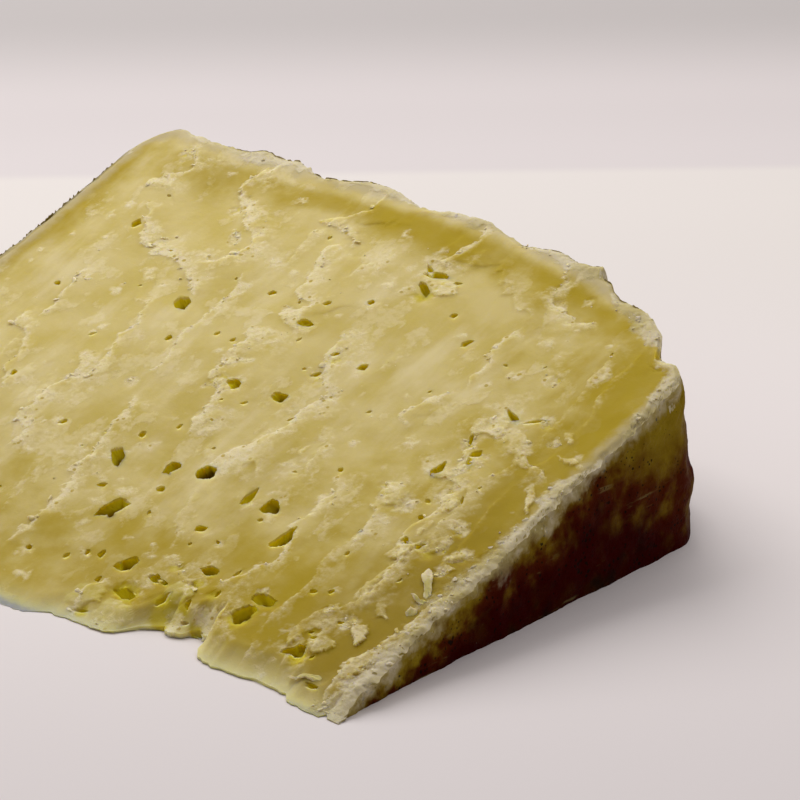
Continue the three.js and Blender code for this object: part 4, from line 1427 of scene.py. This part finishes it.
def paste_material():
    """The cut face.  Its tones are laid one over the other, its bumps added up."""
    m = waxy_finish("cheddar_paste", PASTE_PALE, SCATTER_MM["paste"], 0.05)
    names = ("gap", "torn", "crust", "pit", "gold", "deep", "crack_shade", "far_end", "edge", "hollow_shade", "plate")
    mask = {name: m.mask(name) for name in names}
    cloud, patch, crumb, fine = m.grain(9, 4), m.grain(2.4, 5), m.grain(0.9, 4), m.grain(0.35, 3)
    paste_ground(m, mask, cloud, patch)
    scale = paste_scales(m, mask["gold"], crumb)
    white = paste_tears(m, mask["torn"], mask["gold"], patch, crumb)
    crusty = paste_crust(m, mask["crust"], cloud, patch, crumb)
    # Painted shade in the low facets of torn places.
    m.lay(m.fade(mask["crack_shade"], 0.25, 0.7, 0.0, 0.45), PIT_OLIVE)
    # Eyes: painted light near their rims, painted shade deeper in.
    for low, high, tone in PIT_TONES:
        m.lay(m.fade(mask["pit"], low, high), tone)
    m.lay(m.times(mask["far_end"], 0.55), EDGE_SHADE)
    rough_crumb = m.sum(m.times(m.sum(white, crusty, "MAXIMUM"), crumb), m.times(fine, 0.10))
    normal = m.bump(rough_crumb, 0.26, 0.7)
    normal = m.bump(m.sum(m.times(m.grain(2.2, 4), 0.5), m.times(scale, 0.5)), 0.16, 0.6, normal)
    roughness = m.sum(m.fade(cloud, 0.3, 0.7, 0.38, 0.5), m.times(white, 0.25))
    # The dry crust lets less light through.
    m.join(m.fade(mask["gap"], 0.3, 3.0, 0.35, 1.0), m.shader.inputs["Subsurface Weight"])
    return m.finish(roughness, normal)


def crumb_material(name, base_a, base_b):
    """Dry torn paste of the crumbs."""
    m = waxy_finish(name, base_a, SCATTER_MM["crumb"], 0.1)
    m.lay(m.fade(m.grain(1.6, 3), 0.42, 0.7), base_b)
    return m.finish(0.62, m.bump(m.grain(0.3, 3), 0.06, 0.7))


def flake_material():
    """Thin flakes of paste: clear in the middle, white where they tore."""
    m = waxy_finish("cheddar_flake", FLAKE_PALE, SCATTER_MM["flake"], 0.12)
    mottling = m.sum(m.about(m.grain(2.0, 4), 1.6), m.about(m.grain(0.7, 3), 0.6))
    rim = m.sum(m.sum(m.mask("rim"), 0.3), mottling)
    m.lay(m.fade(rim, 0.45, 1.0, 0.2, 0.9), CRUMB_WHITE)
    return m.finish(0.5, m.bump(m.grain(0.6, 4), 0.10, 0.7))


def rind_material():
    """Dry rind: crumbly at the cut, olive below it and dark brown further down, partly painted light and
    shade.
    """
    m = Finish("cheddar_rind", RIND_OLIVE, IOR=WAX_IOR, Specular_IOR_Level=0.015)
    below = m.mask("below")
    cloud = m.grain(14, 4)
    mottle = m.grain(3.2, 5)
    crumb = m.grain(0.9, 4)
    # Depth below the cut sets the rind's tone: olive near the cut, partly painted light; dark further down,
    # partly painted shade.
    depth = m.sum(m.sum(below, m.about(cloud, 12.0)), m.about(mottle, 9.0))
    # Where the mask old is high, the darkening, partly painted shade, comes on more slowly.
    depth = m.times(depth, m.fade(m.mask("old"), -0.6, 1.0, 1.5, 0.34))
    m.lay(m.fade(depth, 0.0, 5.4), RIND_BROWN)
    m.lay(m.fade(depth, 3.8, 11.0), RIND_DARK)
    lichen = m.fade(m.grain(5.0, 7), 0.46, 0.72, 0.0, 0.55)
    m.lay(m.times(lichen, m.fade(depth, 4.0, 12.0, 1.0, 0.12)), RIND_OLIVE)
    streak = m.fade(m.grain(2.0, 4, stretch=(1.4, 6.0, 1.0)), 0.64, 0.76, 0.0, 0.5)
    m.lay(streak, RIND_MOULD)
    # Black patches, laid more thickly further down: the patches are the rind's own, their growth downwards is
    # painted shade.
    dark_patches_and_shade = m.fade(m.grain(6.0, 3), 0.5, 0.7, 0.0, 0.75)
    m.lay(m.times(dark_patches_and_shade, m.fade(depth, 4.0, 14.0)), RIND_BLACK)
    clumps = m.sum(m.about(m.grain(5, 3), 1.5), m.about(m.grain(0.6, 3), 0.5))
    specks = m.fade(m.sum(m.cells(0.9), clumps), 0.02, 0.16, 1.0, 0.0)
    m.lay(m.times(specks, 0.9), RIND_BLACK)
    ragged_edge = m.sum(m.sum(m.about(crumb, 3.0), m.about(mottle, 4.0)), m.about(m.grain(6, 3), 8.0))
    crust = m.fade(m.sum(below, ragged_edge), -0.6, 2.8, 0.9, 0.0)
    crust = m.times(crust, m.fade(crumb, 0.36, 0.56, 0.64, 1.0))
    m.lay(crust, m.mix(m.fade(mottle, 0.4, 0.6), CRUST_WHITE, CRUST_GREEN))
    normal = m.bump(m.sum(m.times(mottle, 0.6), m.times(crumb, 0.4)), 0.9, 0.9)
    normal = m.bump(m.grain(0.4, 3), 0.12, 0.7, normal)
    return m.finish(m.fade(mottle, 0.3, 0.7, 0.42, 0.7), normal)


def floor_material():
    """A pale sheet, with painted light and shade across it as seen from the front."""
    m = Finish("pale_floor", FLOOR_LIGHT_AND_SHADE[0][1], IOR=1.45, Specular_IOR_Level=0.1)
    view = (FLOOR_VIEW[0] / MM, FLOOR_VIEW[1] / MM, 0)
    depth = m.node("ShaderNodeVectorMath", "Value", {0: m.place, 1: view}, operation="DOT_PRODUCT")
    for (start, _), (end, tone) in zip(FLOOR_LIGHT_AND_SHADE, FLOOR_LIGHT_AND_SHADE[1:]):
        m.lay(m.fade(depth, start, end), tone)
    return m.finish(0.6, m.bump(m.grain(1.2, 4), 0.02, 0.3))


# ---- stage ----


def make_floor():
    """A large sheet under the wedge."""
    mesh = bpy.data.meshes.new("floor")
    half = FLOOR_SIZE / 2
    corners = [(-half, -half, 0), (half, -half, 0), (half, half, 0), (-half, half, 0)]
    mesh.from_pydata(corners, [], [(0, 1, 2, 3)])
    floor = bpy.data.objects.new("floor", mesh)
    bpy.context.scene.collection.objects.link(floor)
    mesh.materials.append(floor_material())


def make_camera():
    """The camera where the photo was taken from, aimed beside the wedge's middle."""
    a, e = CAMERA["azimuth"], CAMERA["elevation"]
    back = Vector((math.sin(a) * math.cos(e), -math.cos(a) * math.cos(e), math.sin(e)))
    right = Vector((math.cos(a), math.sin(a), 0))
    up = back.cross(right)
    at = back * CAMERA["distance"] + right * CAMERA["right"] + up * CAMERA["up"]
    at.y -= MIDDLE_Y
    data = bpy.data.cameras.new("camera")
    data.sensor_width = CAMERA["sensor"]
    data.lens = CAMERA["lens"]
    data.clip_start, data.clip_end = CAMERA["clip"]
    camera = bpy.data.objects.new("camera", data)
    axes = Matrix((right, up, back)).transposed()
    camera.matrix_world = Matrix.Translation(at * MM) @ axes.to_4x4()
    bpy.context.scene.collection.objects.link(camera)
    bpy.context.scene.camera = camera


def area_light(name, place, size, power, tint):
    """A rectangular lamp that faces the wedge."""
    data = bpy.data.lights.new(name, "AREA")
    data.shape = "RECTANGLE"
    data.size, data.size_y = size
    data.energy = power
    data.color = tint
    light = bpy.data.objects.new(name, data)
    light.location = place
    aim = Vector(LIGHT_TARGET) - Vector(place)
    light.rotation_mode = "QUATERNION"
    light.rotation_quaternion = aim.to_track_quat("-Z", "Y")
    bpy.context.scene.collection.objects.link(light)


def make_lights():
    """The lamps, and an even light from all around."""
    for light in LIGHTS:
        area_light(*light)
    world = bpy.data.worlds.new("studio")
    world.use_nodes = True
    shade = world.node_tree.nodes["Background"]
    shade.inputs["Color"].default_value = WORLD_TINT
    shade.inputs["Strength"].default_value = WORLD_LIGHT
    bpy.context.scene.world = world


# ---- the scene ----


def place_piece(piece):
    """Every piece belongs to the body."""
    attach(piece, "root")


def make_cheese():
    """The fine wedge that stands in for the solid."""
    body = body_mesh()
    cut_eyes(body)
    thin_out(body, BODY_TRIANGLES)
    paint_masks(body)
    split_materials(body, paste_material(), rind_material())
    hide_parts(NODE)
    place_piece(body)


def torn_weight(x, r):
    """How thickly crumbs lie: most in tears and along their brinks."""
    face = cut_face(x, r)
    return 0.9 * face["tear"] ** 2 + 0.7 * face["brink"] + 0.15 * face["white"]


def brink_weight(x, r):
    """How thickly torn leaves stand: most along the brinks."""
    face = cut_face(x, r)
    return face["brink"] * 0.9 + 0.25 * face["tear"]


def layer_lift(x, r):
    """The height of torn layers, which torn leaves point down from."""
    return cut_face(x, r)["lift"]


def crust_weight(x, r):
    """How thickly the crust's crumbs lie, with none where its lip is cut back."""
    kept = rind_gap(x, r) + np.minimum(np.interp(x, *zip(*LIP)), 0) > 0.8
    return crust_amount(x, r) * (0.15 + 0.85 * smooth_step(-5, 40, x)) * kept


def make_crumbs():
    """The loose pieces on the cut face."""
    pale = crumb_material("torn_crumb", CRUMB_WHITE, PASTE_PALE)
    dry = crumb_material("crust_crumb", CRUST_WHITE, CRUST_GREY)
    pieces = [
        (crumbs("crumbs", torn_weight, count=300, least=0.25, most=0.8, seed=51), pale),
        (crumbs("crust_crumbs", crust_weight, count=60, least=0.25, most=0.6, seed=53), dry),
        (loose_leaves("torn_leaves", brink_weight, layer_lift, count=110, least=0.6, most=1.8,
                      spread=35, tilts=(-14, 8), seed=54), pale),
        (loose_leaves("crust_leaves", crust_weight, rind_gap, count=60, least=0.5, most=1.5,
                      spread=50, tilts=(-15, 20), seed=55), dry),
        (flakes(), flake_material()),
    ]
    for piece, material in pieces:
        piece.data.materials.append(material)
        piece.data.set_sharp_from_angle(angle=SHARP_ANGLE)
        paint_masks(piece)
        place_piece(piece)


bpy.context.scene.view_settings.view_transform = "Standard"
make_cheese()
make_crumbs()
make_floor()
make_lights()
make_camera()
